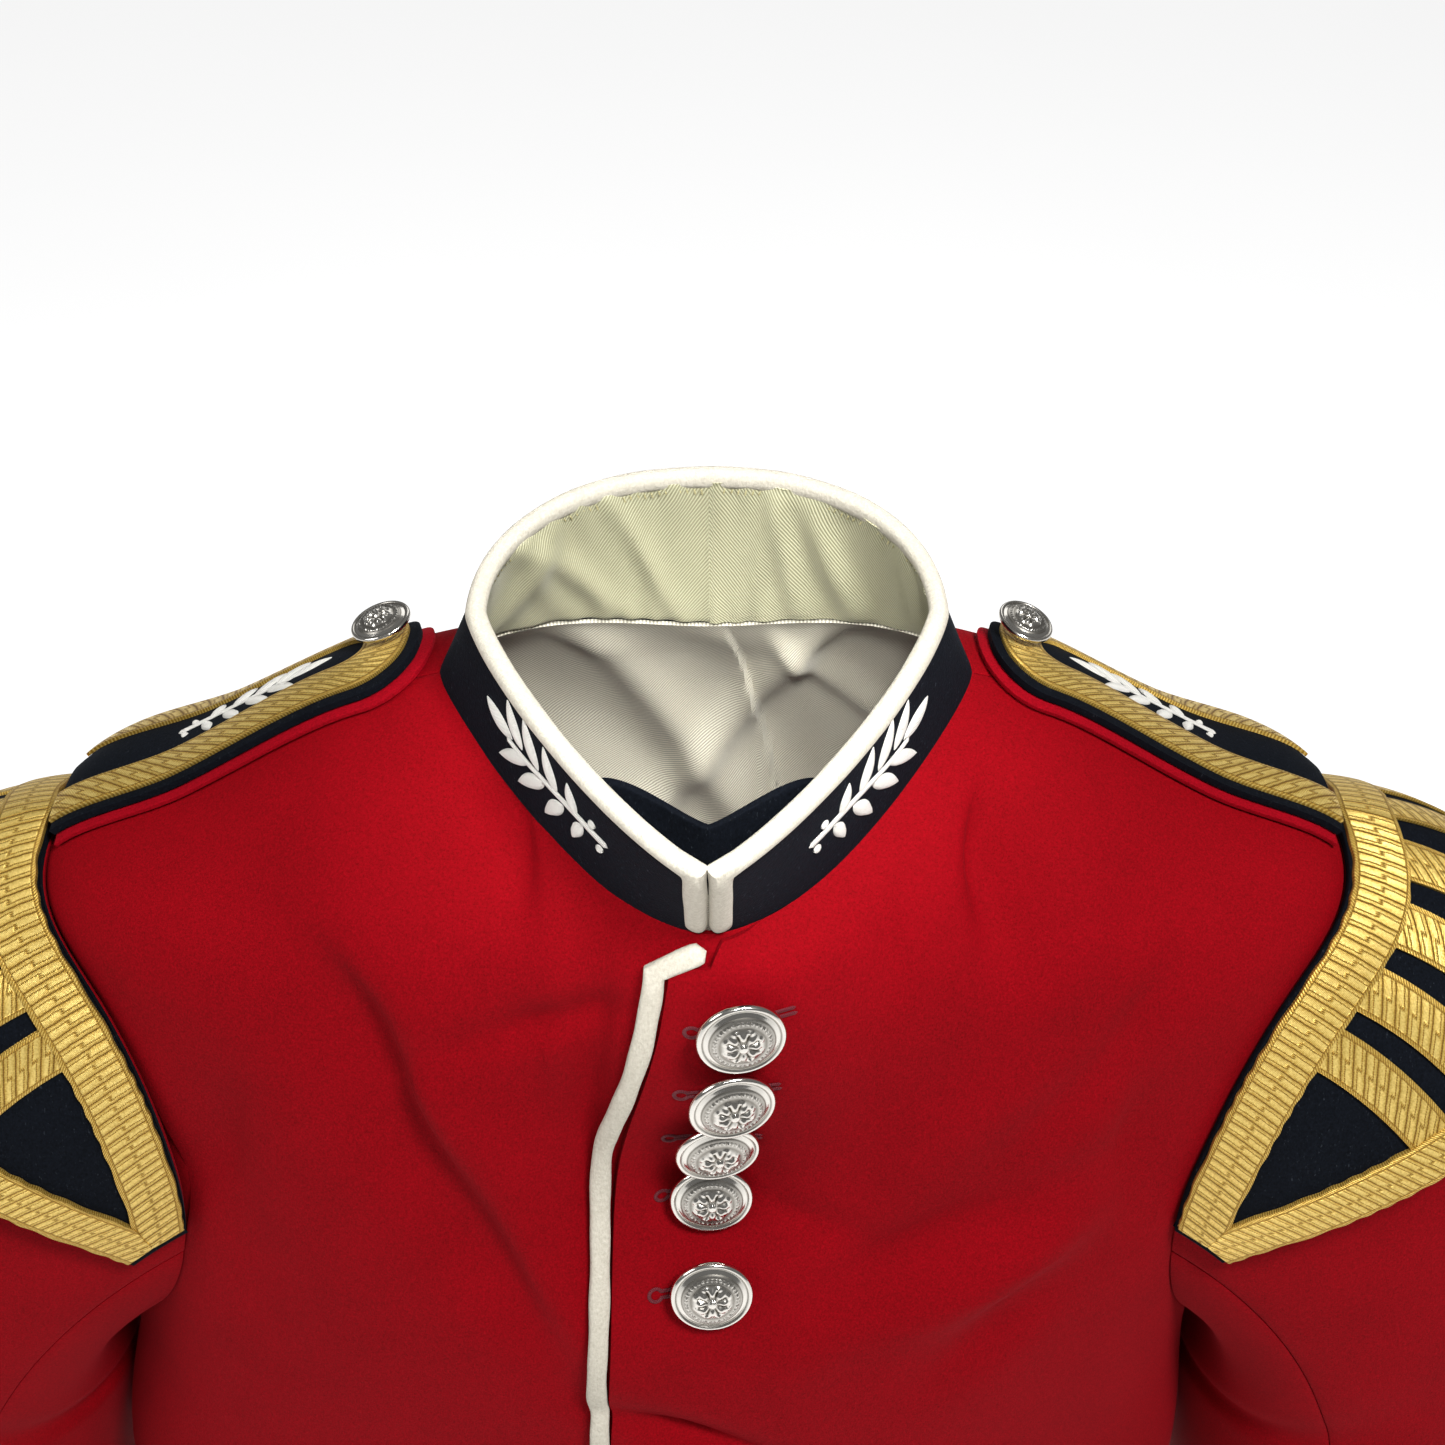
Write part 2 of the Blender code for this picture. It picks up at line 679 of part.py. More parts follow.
def panel_wall(name, start_angle, end_angle, across, material, lift=None, moved_row=None):
    """Body panel between two angles that may change with the row."""
    lift = lift or (lambda angle, row: 0.0)
    moved_row = moved_row or (lambda angle, row: row)

    def face(depth):
        def point(u, v):
            row = spaced_row(v, PANEL_ROWS)
            start = start_angle(row)
            end = end_angle(row)
            shown = start + (end - start) * u
            row = moved_row(shown, row)
            return body(shown, row, lift(shown, row) - depth)
        return point

    return wall(name, face(0.0), face(CLOTH), across, len(PANEL_ROWS) - 1, material)


def seam_turn(row, angle=0.0):
    """Angle that stands for half a seam gap at a row."""
    return SEAM / (body_form(angle, row).xy - Vector((0.0, MIDDLE_Y))).length


def make_body(scarlet):
    panel_wall(
        "front_left",
        lambda row: angle_at_x(lap_edge_x(row), row),
        lambda row: armhole_angle(row, True) - seam_turn(row),
        LAP_COLUMNS, scarlet, lap_out, lap_row,
    )
    panel_wall(
        "front_right",
        lambda row: angle_at_x(UNDER_EDGE_X, row),
        lambda row: -2.0 * QUARTER - armhole_angle(row, True) + seam_turn(row),
        UNDER_COLUMNS, scarlet,
    )
    panel_wall(
        "back_left",
        lambda row: armhole_angle(row, False) + seam_turn(row),
        lambda row: QUARTER - seam_turn(row, QUARTER),
        BACK_COLUMNS, scarlet,
    )
    panel_wall(
        "back_right",
        lambda row: QUARTER + seam_turn(row, QUARTER),
        lambda row: 2.0 * QUARTER - armhole_angle(row, False) - seam_turn(row),
        BACK_COLUMNS, scarlet,
    )


def make_sleeves(scarlet):
    """Top and under sleeves, whose columns meet the body panels' rows at the armhole."""
    step = math.pi / ARMHOLE_STEPS
    reach = TOP_SLEEVE_STEPS * step
    under_steps = 2 * (ARMHOLE_STEPS - TOP_SLEEVE_STEPS)
    pieces = (
        ("top", reach, -reach, 2 * TOP_SLEEVE_STEPS),
        ("under", -reach, reach - 4.0 * QUARTER, under_steps),
    )
    rows = len(SLEEVE_LENGTHS) - 1
    for side, mirror in (("left", False), ("right", True)):
        for piece, start, end, across in pieces:
            def face(depth, start=start, end=end):
                def point(u, v):
                    turn = start + (end - start) * u
                    nearest = SLEEVE_START / (sleeve_ring(turn, 0.0) - armhole(turn)).length
                    length = max(spaced_row(v, SLEEVE_LENGTHS), nearest)
                    spot = sleeve(turn, length, -depth)
                    if u in (0.0, 1.0):
                        inward = sleeve(turn + (0.02 if u == 1.0 else -0.02), length, -depth) - spot
                        spot += inward.normalized() * SEAM
                    return spot
                return point
            wall(f"sleeve_{piece}_{side}", face(0.0), face(CLOTH), across, rows, scarlet, mirror)


def make_lining(twill):
    """Back lining with its pleat down the middle, on the same grid as the backs."""
    rows = PANEL_ROWS[:LINING_ROWS]

    def face(depth):
        def point(u, v):
            row = spaced_row(v, rows)
            start = armhole_angle(row, False) + seam_turn(row)
            share = 1.0 - abs(2.0 * u - 1.0)
            angle = start + (QUARTER - seam_turn(row, QUARTER) - start) * share
            angle = angle if u <= 0.5 else 2.0 * QUARTER - angle
            x = body_form(angle, row).x
            pleat = PLEAT_LIFT * smooth(1.5 - abs(x) / PLEAT_HALF) * smooth(row / 0.6)
            return body(angle, row, -CLOTH - GAP - pleat - depth)
        return point

    wall("back_lining", face(0.0), face(LINING_CLOTH), 2 * BACK_COLUMNS, LINING_ROWS - 1, twill)


def make_front_piping(white):
    """Piping along the left front's short top edge, round its corner and down its long edge."""
    half_width = 0.5 * PIPING_WIDTH
    rows = [PIPING_CORNER_ROW] + [row for row in PANEL_ROWS if row > 0.9]
    rows[-1] = HEM_ROW - 0.01
    steps = len(rows)

    def spot(x, row):
        angle = angle_at_x(x, row)
        return body(angle, row, LAP_LIFT - 0.5 * CLOTH + 0.0001)

    def edge(row):
        return spot(lap_edge_x(row) - 2.0 * GAP - half_width, row)

    def place(share):
        corner = edge(PIPING_CORNER_ROW)
        start = spot(PIPING_TOP_X, PIPING_TOP_ROW)
        first = 1.0 / steps
        row = PIPING_CORNER_ROW
        if share > first * 1.5:
            row = spaced_row((share - first) / (1.0 - first), rows)
        middle = start if share < 0.5 * first else edge(row)
        out = body_normal(angle_at_x(min(middle.x, -0.001), row), row)
        down = (edge(row + 0.01) - edge(row)).normalized()
        over = (corner - start).normalized()
        if share < 0.5 * first:
            return middle, over.cross(out).normalized(), out
        across = down.cross(out).normalized()
        if share < 1.5 * first:
            across = (across + over.cross(out).normalized()).normalized() / math.cos(0.5 * down.angle(over))
        return middle, across, out

    strip_loop("front_piping_edge", place, half_width, 0.5 * PIPING_THICK, steps, white)


# Pieces of the collar

def collar_leaf(share, height, low_cut, depth):
    """Point on a layer of the wearer's left half: share runs from the front end to the back."""
    start = -QUARTER + COLLAR_START
    angle = start + (QUARTER - start) * share**COLLAR_CROWD
    span = collar_span(angle)
    rise = low_cut / span + (1.0 - (COLLAR_PIPING_WIDTH + PIPING_SEAT + low_cut) / span) * height
    spot = collar(angle, rise, -depth)
    if share == 0.0:
        spot.x = COLLAR_PIPING_WIDTH + SEAM + PIPING_SEAT
    if share == 1.0:
        spot.x = SEAM
    return spot


def make_collar(navy, twill, white):
    def whole(depth):
        def point(u, v):
            share = 1.0 - abs(2.0 * u - 1.0)
            spot = collar_leaf(share, v, GAP, depth)
            if share == 1.0:
                spot.x = 0.0
            if u > 0.5:
                spot.x = -spot.x
            return spot
        return point

    wall("collar", whole(0.0), whole(COLLAR_CLOTH), COLLAR_COLUMNS, COLLAR_ROWS, navy)
    for side, mirror in (("left", False), ("right", True)):
        def half(depth, mirror=mirror):
            def point(u, v):
                spot = collar_leaf(1.0 - u if mirror else u, v, GAP, depth)
                spot.x = -spot.x if mirror else spot.x
                return spot
            return point

        outer, inner = half(COLLAR_CLOTH + GAP), half(COLLAR_THICK)
        wall(f"collar_lining_{side}", outer, inner, COLLAR_COLUMNS // 2, COLLAR_ROWS, twill)

        def place(share):
            half = 0.5 * COLLAR_PIPING_WIDTH
            if share < FRONT_PIPING_SHARE:
                rise = FRONT_PIPING_LOW + FRONT_PIPING_RISE * share / FRONT_PIPING_SHARE
                spot = collar(-QUARTER + COLLAR_START, rise, -0.5 * COLLAR_THICK)
                spot.x = half + SEAM
                out = facing(collar_form, -QUARTER + 1.5 * COLLAR_START, 0.5, COLLAR_STEP)
                return spot, Vector((1.0, 0.0, 0.0)), out
            around = (share - FRONT_PIPING_SHARE) / (1.0 - FRONT_PIPING_SHARE)
            start = -QUARTER + PIPING_TURN
            angle = start + (QUARTER - start) * around**PIPING_CROWD
            span = collar_span(angle)
            spot = collar(angle, 1.0 - half / span, -0.5 * COLLAR_THICK)
            if around == 1.0:
                spot.x = SEAM
            near = min(angle, QUARTER - COLLAR_START)
            out = facing(collar_form, near, 0.5, COLLAR_STEP)
            up = (collar_top(angle) - collar_foot(angle)).normalized()
            return spot, -up, out

        strip_loop(
            f"collar_piping_{side}", place, 0.5 * COLLAR_PIPING_WIDTH, 0.5 * COLLAR_PIPING_THICK,
            COLLAR_PIPING_STEPS, white, mirror,
        )


def make_collar_tab(navy):
    """Tab behind the collar's opening, bowed in from the lining it is sewn to."""
    reach = math.radians(TAB_REACH)

    def face(depth):
        def point(u, v):
            share = abs(2.0 * u - 1.0)
            angle = -QUARTER + share * reach
            crown = TAB_TOP - TAB_DIP * (1.0 - share)
            rise = TAB_LOW + (crown - TAB_LOW) * v
            spot = collar_form(angle, rise)
            normal = facing(collar_form, -QUARTER + max(share, 0.2) * reach, 0.5, COLLAR_STEP)
            bow = TAB_BULGE * (1.0 - share**TAB_BOW_POWER) * (TAB_BOW_LOW + (1.0 - TAB_BOW_LOW) * v)
            spot -= normal * (COLLAR_THICK + 2.0 * GAP + depth) * share
            spot.y += bow + (COLLAR_THICK + depth) * (1.0 - share)
            spot.x = spot.x if u > 0.5 else -spot.x
            if u == 0.5:
                spot.x = 0.0
            return spot
        return point

    wall("collar_tab", face(0.0), face(COLLAR_CLOTH), TAB_COLUMNS, TAB_ROWS, navy)


# Shoulder straps

def make_straps(navy, red, gold, silver):
    base = STRAP_STAND
    low = base + STRAP_EDGE_CLOTH + STRAP_LAYER
    top = low + STRAP_CLOTH
    for side, mirror in (("left", False), ("right", True)):
        def slab(inset, low, high):
            def face(out):
                return lambda u, v: strap_point(v, 2.0 * u - 1.0, inset, out)
            return face(high), face(low)

        grid = (STRAP_COLUMNS, STRAP_ROWS)
        wall(f"strap_edge_{side}", *slab(0.0, base, base + STRAP_EDGE_CLOTH), *grid, red, mirror)
        wall(f"strap_{side}", *slab(STRAP_EDGE, low, top), *grid, navy, mirror)
        make_strap_lace(f"strap_lace_{side}", top + STRAP_LAYER, gold, mirror)
        foot = on_shoulder(STRAP_BUTTON_X, STRAP_BUTTON_Y, top + STRAP_LAYER + LACE + GAP)
        cloth_out = body_normal(*shoulder_place(STRAP_BUTTON_X, STRAP_BUTTON_Y))
        out = (cloth_out + Vector((0.0, -STRAP_BUTTON_LEAN, 0.0))).normalized()
        spot = foot + Vector((0.0, 0.0, STRAP_BUTTON_RISE))
        if mirror:
            for item in (spot, out, foot, cloth_out):
                item.x = -item.x
        button(f"strap_button_{side}", spot, out, STRAP_BUTTON_RADIUS, foot, cloth_out, silver)


def make_strap_lace(name, out, gold, mirror):
    """Lace along both edges of the strap and round its neck end, as one U."""
    outside = STRAP_EDGE + STRAP_MARGIN

    def edge_point(share, inset, height):
        along = abs(2.0 * share - 1.0)
        across = -1.0 if share < 0.5 else 1.0
        if share == 0.5:
            across = 0.0
        x = strap_x(along, inset)
        half = strap_half(x, inset)
        return on_shoulder(x, STRAP_Y + across * half, height)

    def face(height):
        def point(u, v):
            return edge_point(v, outside + STRAP_LACE_WIDTH * u, height)
        return point

    wall(name, face(out + LACE), face(out), 1, 2 * STRAP_ROWS, gold, mirror)


# Wings

def make_wings(navy, gold):
    for side, mirror in (("left", False), ("right", True)):
        def face(out):
            def point(u, v):
                return wing(v, WING_START + (wing_depth(v) - WING_START) * u, out)
            return point

        wall(f"wing_{side}", face(0.0), face(-WING_CLOTH), WING_ROWS, WING_COLUMNS, navy, mirror)
        make_wing_lace(f"wing_lace_{side}", gold, mirror)
        for number in range(BARS):
            share = 0.5 + BAR_STEP * (number - 0.5 * (BARS - 1))
            make_bar(f"wing_bar_{side}_{number + 1:02d}", share, gold, mirror)


def lace_reaches(share):
    """Distances from the seam of the lace's four edges: inner lace, then border lace."""
    first = WING_START + WING_EDGE
    last = wing_depth(share) - WING_EDGE
    middle = first + (last - first) * WING_LACE_WIDTH / (WING_LACE_WIDTH + BORDER_LACE_WIDTH)
    return first, min(first + WING_LACE_WIDTH, middle), max(last - BORDER_LACE_WIDTH, middle), last


def make_wing_lace(name, gold, mirror):
    """Inner lace and border lace, joined at both tips."""
    work = bmesh.new()
    strips = []
    for k in range(WING_COLUMNS + 1):
        share = LACE_TIP_SHARE + (1.0 - 2.0 * LACE_TIP_SHARE) * k / WING_COLUMNS
        strips.append([work.verts.new(wing(share, reach, GAP)) for reach in lace_reaches(share)])
    for first, second in zip(strips, strips[1:]):
        for k in (0, 2):
            work.faces.new((first[k], second[k], second[k + 1], first[k + 1]))
    bmesh.ops.remove_doubles(work, verts=work.verts, dist=0.00005)
    work.normal_update()
    raised = bmesh.ops.extrude_face_region(work, geom=work.faces[:], use_keep_orig=True)["geom"]
    raised_verts = [item for item in raised if isinstance(item, bmesh.types.BMVert)]
    heights = [(vert, vert.normal.copy()) for vert in raised_verts]
    middle = wing(0.5, 0.5 * wing_depth(0.5), 0.0)
    upward = wing(0.5, 0.5 * wing_depth(0.5), 1.0) - middle
    nearest = min(heights, key=lambda item: (item[0].co - middle).length)
    sign = math.copysign(1.0, nearest[1].dot(upward))
    for vert, normal in heights:
        vert.co += normal * (sign * LACE)
    if mirror:
        bmesh.ops.scale(work, vec=(-1.0, 1.0, 1.0), verts=work.verts)
    mesh_from(name, work, gold)


def make_bar(name, share, gold, mirror):
    """One bar of lace across the wing, from the inner lace to the border."""
    _, first, last, _ = lace_reaches(share)
    step = BODY_STEP

    def face(height):
        def point(u, v):
            reach = first + (last - first) * v
            width = (wing(share + step, reach) - wing(share - step, reach)).length / (2.0 * step)
            place = share + (u - 0.5) * BAR_WIDTH / width
            _, start, end, _ = lace_reaches(place)
            reach = start + BAR_PLAY + (end - start - 2.0 * BAR_PLAY) * v
            return wing(place, reach, height)
        return point

    wall(name, face(GAP + LACE), face(GAP), BAR_COLUMNS, BAR_ROWS, gold, mirror)


def make_front_buttons(silver):
    for number, (x, z, clearance) in enumerate(FRONT_BUTTONS, start=1):
        row = row_at_z(x, z)
        angle = angle_at_x(x, row)
        cloth_out = body_normal(angle, row)
        out = (cloth_out + Vector((0.0, -SHANK_PLAY, 0.0))).normalized()
        foot = body(angle, row, lap_out(angle, row) + clearance)
        middle = body(angle, row, lap_out(angle, row) + BUTTON_STAND)
        button(f"button_{number:02d}", middle, out, BUTTON_RADIUS, foot, cloth_out, silver)


def main():
    clear_scene()
    scarlet = cloth_material("scarlet wool", (0.30, 0.004, 0.010), 0.9)
    red = cloth_material("red edging", (0.34, 0.006, 0.012), 0.9)
    navy = cloth_material("navy wool", (0.006, 0.008, 0.014), 0.9)
    white = cloth_material("white wool piping", (0.75, 0.71, 0.64), 0.85)
    cream = cloth_material("collar lining twill", (0.62, 0.60, 0.38), 0.8)
    grey = cloth_material("body lining twill", (0.38, 0.35, 0.25), 0.8)
    gold = cloth_material("gold lace", (0.60, 0.38, 0.09), 0.4, 0.6)
    silver = cloth_material("silver button", (0.60, 0.57, 0.50), 0.3, 1.0)
    make_body(scarlet)
    make_sleeves(scarlet)
    make_lining(grey)
    make_front_piping(white)
    make_collar(navy, cream, white)
    make_collar_tab(navy)
    make_straps(navy, red, gold, silver)
    make_wings(navy, gold)
    make_front_buttons(silver)


main()
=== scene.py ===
"""Looks of a military band tunic, filled out as when worn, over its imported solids.

The shapes repeat the solids' own formulas in metres, on finer grids, with the small creases,
seams, laces, stitching and stamped relief that the solids leave out.
"""

import logging
import math
from dataclasses import astuple, dataclass, field
from enum import Enum
from typing import Callable

import bmesh
import bpy
import numpy as np
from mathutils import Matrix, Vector


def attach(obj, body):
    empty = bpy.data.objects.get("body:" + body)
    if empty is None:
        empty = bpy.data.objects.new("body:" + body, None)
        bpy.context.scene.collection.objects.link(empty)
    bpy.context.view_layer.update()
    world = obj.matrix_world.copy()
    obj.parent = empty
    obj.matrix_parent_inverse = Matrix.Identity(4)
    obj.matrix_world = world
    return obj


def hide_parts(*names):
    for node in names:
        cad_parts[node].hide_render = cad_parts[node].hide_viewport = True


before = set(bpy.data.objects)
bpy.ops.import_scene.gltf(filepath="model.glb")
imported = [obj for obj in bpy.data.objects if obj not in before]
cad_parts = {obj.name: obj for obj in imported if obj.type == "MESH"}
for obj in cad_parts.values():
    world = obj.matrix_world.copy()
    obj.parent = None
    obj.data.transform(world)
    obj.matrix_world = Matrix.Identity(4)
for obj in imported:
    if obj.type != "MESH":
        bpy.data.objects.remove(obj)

logging.basicConfig(level=logging.INFO, format="%(message)s")
log = logging.getLogger("tunic")

Array = np.ndarray
Colour = tuple[float, float, float]
Number = np.ndarray | float
Pair = tuple[Array, Array]
Surface = Callable[[Array, Array], Array]
Layers = Callable[[Array, Array], Pair]
Edges = Callable[[Array], Pair]
FlatPlaces = dict[bmesh.types.BMVert, tuple[float, float]]
Material = bpy.types.Material
Object = bpy.types.Object

QUARTER = 0.5 * math.pi
GAP = 0.0003
SEAM = 0.5 * GAP
CLOTH = 0.002
LACE = 0.001
BODY_STEP = 0.004
SLEEVE_STEP = 0.006
COLLAR_STEP = 0.012
LACE_CROWN = 0.0003
MERGE = 1e-7
UV_NAME = "flat"


class Side(Enum):
    """Which of the wearer's sides a piece is on, as a factor on x."""

    LEFT = 1.0
    RIGHT = -1.0

    @property
    def word(self) -> str:
        """The side's name as the solids' names spell it."""
        return self.name.lower()


class Held(Enum):
    """How a sheet of cloth is held."""

    HUNG = "hung"
    LAID = "laid"
    DRAPED = "draped"


# Numbers on arrays


def smooth(value: Array) -> Array:
    """Soft step from 0 to 1."""
    value = np.clip(value, 0.0, 1.0)
    return value * value * (3.0 - 2.0 * value)


def unit(vectors: Array) -> Array:
    """Vectors of length 1 along the last axis."""
    return vectors / np.maximum(np.linalg.norm(vectors, axis=-1, keepdims=True), 1e-12)


def bell(value: Array) -> Array:
    """Bell curve of height 1."""
    return np.exp(-(value**2))


def crown(across: Array) -> Array:
    """Rise of a lace's face, rounded off at its edges."""
    return LACE_CROWN * np.sin(math.pi * np.clip(across, 0.0, 1.0)) ** 0.5


def paired(first: Number, second: Number) -> list[Array]:
    """Two numbers or arrays as arrays of one shape."""
    return np.broadcast_arrays(np.asarray(first, float), np.asarray(second, float))


def spaced(share: Array, rows: Array) -> Array:
    """Row number at a share of the way through a list of rows."""
    return np.interp(share * (len(rows) - 1), np.arange(len(rows)), rows)


def cubic(part: Array, start: Array, leave: Array, end: Array, arrive: Array) -> Array:
    """Place on a cubic curve between two ends, by the slopes at them."""
    square, cube = part**2, part**3
    return (
        (2.0 * cube - 3.0 * square + 1.0) * start
        + (cube - 2.0 * square + part) * leave
        + (3.0 * square - 2.0 * cube) * end
        + (cube - square) * arrive
    )


def through_rows(table: Array, row: Array) -> Array:
    """Sizes along a new last axis, on a smooth curve through a table's rows."""
    last = len(table) - 1
    lower = np.clip(np.floor(row).astype(int), 0, last - 1)
    start, end = table[lower], table[lower + 1]
    leave = 0.5 * (end - table[np.maximum(lower - 1, 0)])
    arrive = 0.5 * (table[np.minimum(lower + 2, last)] - start)
    return cubic((row - lower)[..., None], start, leave, end, arrive)


def ring_curve(angle: Array, half: Number, y: float, front: Number, back: Number, *powers: Number) -> Pair:
    """Places x and y of a ring round (0, y), with the powers of its curve in front and behind."""
    in_front = np.sin(angle) < 0.0
    across = np.abs(np.cos(angle)) / half
    along = np.abs(np.sin(angle)) / np.where(in_front, y - front, back - y)
    power = np.where(in_front, *powers)
    radius = (across**power + along**power) ** (-1.0 / power)
    return radius * np.cos(angle), y + radius * np.sin(angle)


def facing(surface: Surface, first: Array, second: Array, step: float) -> Array:
    """Unit normals of a surface of two numbers, from a small step in both."""
    side = surface(first + step, second) - surface(first - step, second)
    down = surface(first, second + step) - surface(first, second - step)
    return unit(np.cross(side, down))


def running_length(points: Array) -> Array:
    """Length along a line of points, starting at 0."""
    return np.concatenate(([0.0], np.cumsum(np.linalg.norm(np.diff(points, axis=0), axis=-1))))


# Shapes shared with the solids


@dataclass(frozen=True)
class Section:
    """Ring of the body: sizes in metres, and the power of its curve in front and behind."""

    name: str
    half_width: float
    front: float
    back: float
    z_front: float
    z_side: float
    z_back: float
    square_front: float
    square_back: float


@dataclass(frozen=True)
class Fold:
    """Soft trough (negative depth) or ridge in the front or the back."""

    name: str
    x: float
    z: float
    half_length: float
    half_width: float
    lean: float
    depth: float


@dataclass(frozen=True)
class SleeveRing:
    """Ring of the sleeve below its cap."""

    name: str
    x: float
    y: float
    z: float
    half_width: float
    half_depth: float
    fullness: float


@dataclass(frozen=True)
class SleeveFold:
    """Soft trough or ridge in a sleeve, by turn in degrees and length number."""

    name: str
    turn: float
    length: float
    half_turn: float
    half_length: float
    slant: float
    depth: float


SECTIONS = (
    Section("neck", 0.0755, -0.054, 0.06, -0.03, 0.003, -0.005, 1.45, 2.2),
    Section("collarbone", 0.106, -0.0575, 0.075, -0.047, -0.007, -0.026, 1.75, 2.2),
    Section("yoke", 0.15, -0.058, 0.089, -0.076, -0.033, -0.058, 2.1, 2.3),
    Section("shoulder", 0.19, -0.058, 0.1, -0.112, -0.052, -0.098, 2.35, 2.4),
    Section("sleeve head", 0.196, -0.064, 0.108, -0.15, -0.084, -0.145, 2.3, 2.4),
    Section("blade", 0.184, -0.07, 0.112, -0.19, -0.172, -0.188, 2.4, 2.4),
    Section("armpit", 0.183, -0.072, 0.112, -0.25, -0.25, -0.25, 2.35, 2.3),
    Section("ribs", 0.194, -0.071, 0.107, -0.335, -0.335, -0.335, 2.3, 2.2),
    Section("waist", 0.183, -0.067, 0.094, -0.43, -0.43, -0.43, 2.2, 2.2),
    Section("hip", 0.194, -0.076, 0.107, -0.58, -0.58, -0.58, 2.2, 2.2),
    Section("hem", 0.206, -0.086, 0.122, -0.735, -0.735, -0.735, 2.2, 2.2),
)

FRONT_FOLDS = (
    Fold("buckle at the buttons", 0.0, -0.136, 0.05, 0.033, 90.0, -0.017),
    Fold("armhole dent left", 0.137, -0.13, 0.06, 0.014, 8.0, -0.005),
    Fold("armhole dent right", -0.14, -0.14, 0.068, 0.015, -10.0, -0.0055),
    Fold("breast dent right", -0.078, -0.118, 0.048, 0.013, -38.0, -0.0035),
    Fold("breast dent left", 0.07, -0.15, 0.05, 0.015, 30.0, -0.003),
    Fold("strap hollow left", 0.098, -0.06, 0.03, 0.014, 40.0, -0.004),
    Fold("strap hollow right", -0.1, -0.062, 0.028, 0.013, -42.0, -0.0035),
    Fold("edge hollow", -0.052, -0.095, 0.05, 0.01, -6.0, -0.004),
    Fold("waist pull left", 0.085, -0.395, 0.055, 0.012, 68.0, -0.004),
    Fold("waist pull right", -0.09, -0.405, 0.06, 0.012, -66.0, -0.004),
    Fold("skirt flute left", 0.11, -0.65, 0.11, 0.02, 4.0, 0.006),
    Fold("skirt flute right", -0.1, -0.655, 0.105, 0.021, -5.0, 0.006),
)

BACK_FOLDS = (
    Fold("blade dent left", 0.125, -0.16, 0.065, 0.016, 10.0, -0.005),
    Fold("blade dent right", -0.128, -0.155, 0.06, 0.015, -12.0, -0.005),
    Fold("waist crease left", 0.08, -0.415, 0.055, 0.013, 72.0, -0.0045),
    Fold("waist crease right", -0.075, -0.405, 0.05, 0.013, -70.0, -0.004),
    Fold("skirt flute left", 0.085, -0.65, 0.11, 0.021, 3.0, 0.0065),
    Fold("skirt flute right", -0.09, -0.645, 0.115, 0.02, -4.0, 0.0065),
)

# Smaller creases that only the worn cloth's looks have
FRONT_CREASES = (
    Fold("dent by the right wing", -0.149, -0.134, 0.038, 0.0085, 21.3, -0.011),
    Fold("long ridge, top", -0.099, -0.041, 0.022, 0.013, -56.4, 0.0059),
    Fold("long ridge, middle", -0.076, -0.082, 0.036, 0.012, -15.4, 0.0079),
    Fold("long ridge, low", -0.053, -0.148, 0.042, 0.01, -22.6, 0.0073),
    Fold("trough by the ridge", -0.089, -0.088, 0.04, 0.012, -15.3, -0.0059),
    Fold("low trough by the ridge", -0.064, -0.158, 0.035, 0.009, -24.6, -0.0053),
    Fold("drop from the collar", -0.057, -0.023, 0.016, 0.008, -6.9, -0.0059),
    Fold("drag to the piping", -0.05, -0.066, 0.024, 0.006, 67.8, -0.0049),
    Fold("hollow by the piping", -0.036, -0.088, 0.042, 0.006, 6.5, -0.0063),
    Fold("hollow by the right strap", -0.08, -0.014, 0.022, 0.013, -65.3, -0.017),
    Fold("hollow by the left strap", 0.087, -0.022, 0.024, 0.011, -3.0, -0.019),
    Fold("ridge from the left strap", 0.104, -0.048, 0.028, 0.011, 29.3, 0.0085),
    Fold("drag from the left wing", 0.137, -0.062, 0.028, 0.01, 34.5, -0.009),
    Fold("drag to the buttons", 0.106, -0.103, 0.032, 0.011, 40.0, -0.0046),
    Fold("dent by the left wing", 0.14, -0.121, 0.036, 0.009, -9.3, -0.011),
    Fold("long drag under the breast", 0.084, -0.143, 0.053, 0.01, 62.6, -0.0063),
    Fold("ridge below the breast", 0.087, -0.165, 0.042, 0.01, 64.7, 0.0056),
    Fold("drag above the armpit", 0.098, -0.182, 0.032, 0.011, 49.6, -0.0056),
    Fold("pinch at the first button", 0.05, -0.042, 0.014, 0.0045, -8.8, -0.0026),
    Fold("pull at the fourth button", 0.037, -0.144, 0.015, 0.006, -72.6, -0.003),
    Fold("fold over the sixth button", -0.007, -0.223, 0.028, 0.006, -67.2, -0.0063),
    Fold("waist wrinkle left", 0.11, -0.43, 0.04, 0.008, 74.0, -0.0034),
    Fold("waist wrinkle right", -0.115, -0.445, 0.043, 0.008, -76.0, -0.0034),
    Fold("waist wrinkle low", 0.06, -0.462, 0.046, 0.009, 80.0, -0.003),
    Fold("skirt dip middle", -0.05, -0.64, 0.075, 0.012, 3.0, -0.0034),
    Fold("skirt dip left", 0.07, -0.6, 0.06, 0.011, -6.0, -0.003),
)

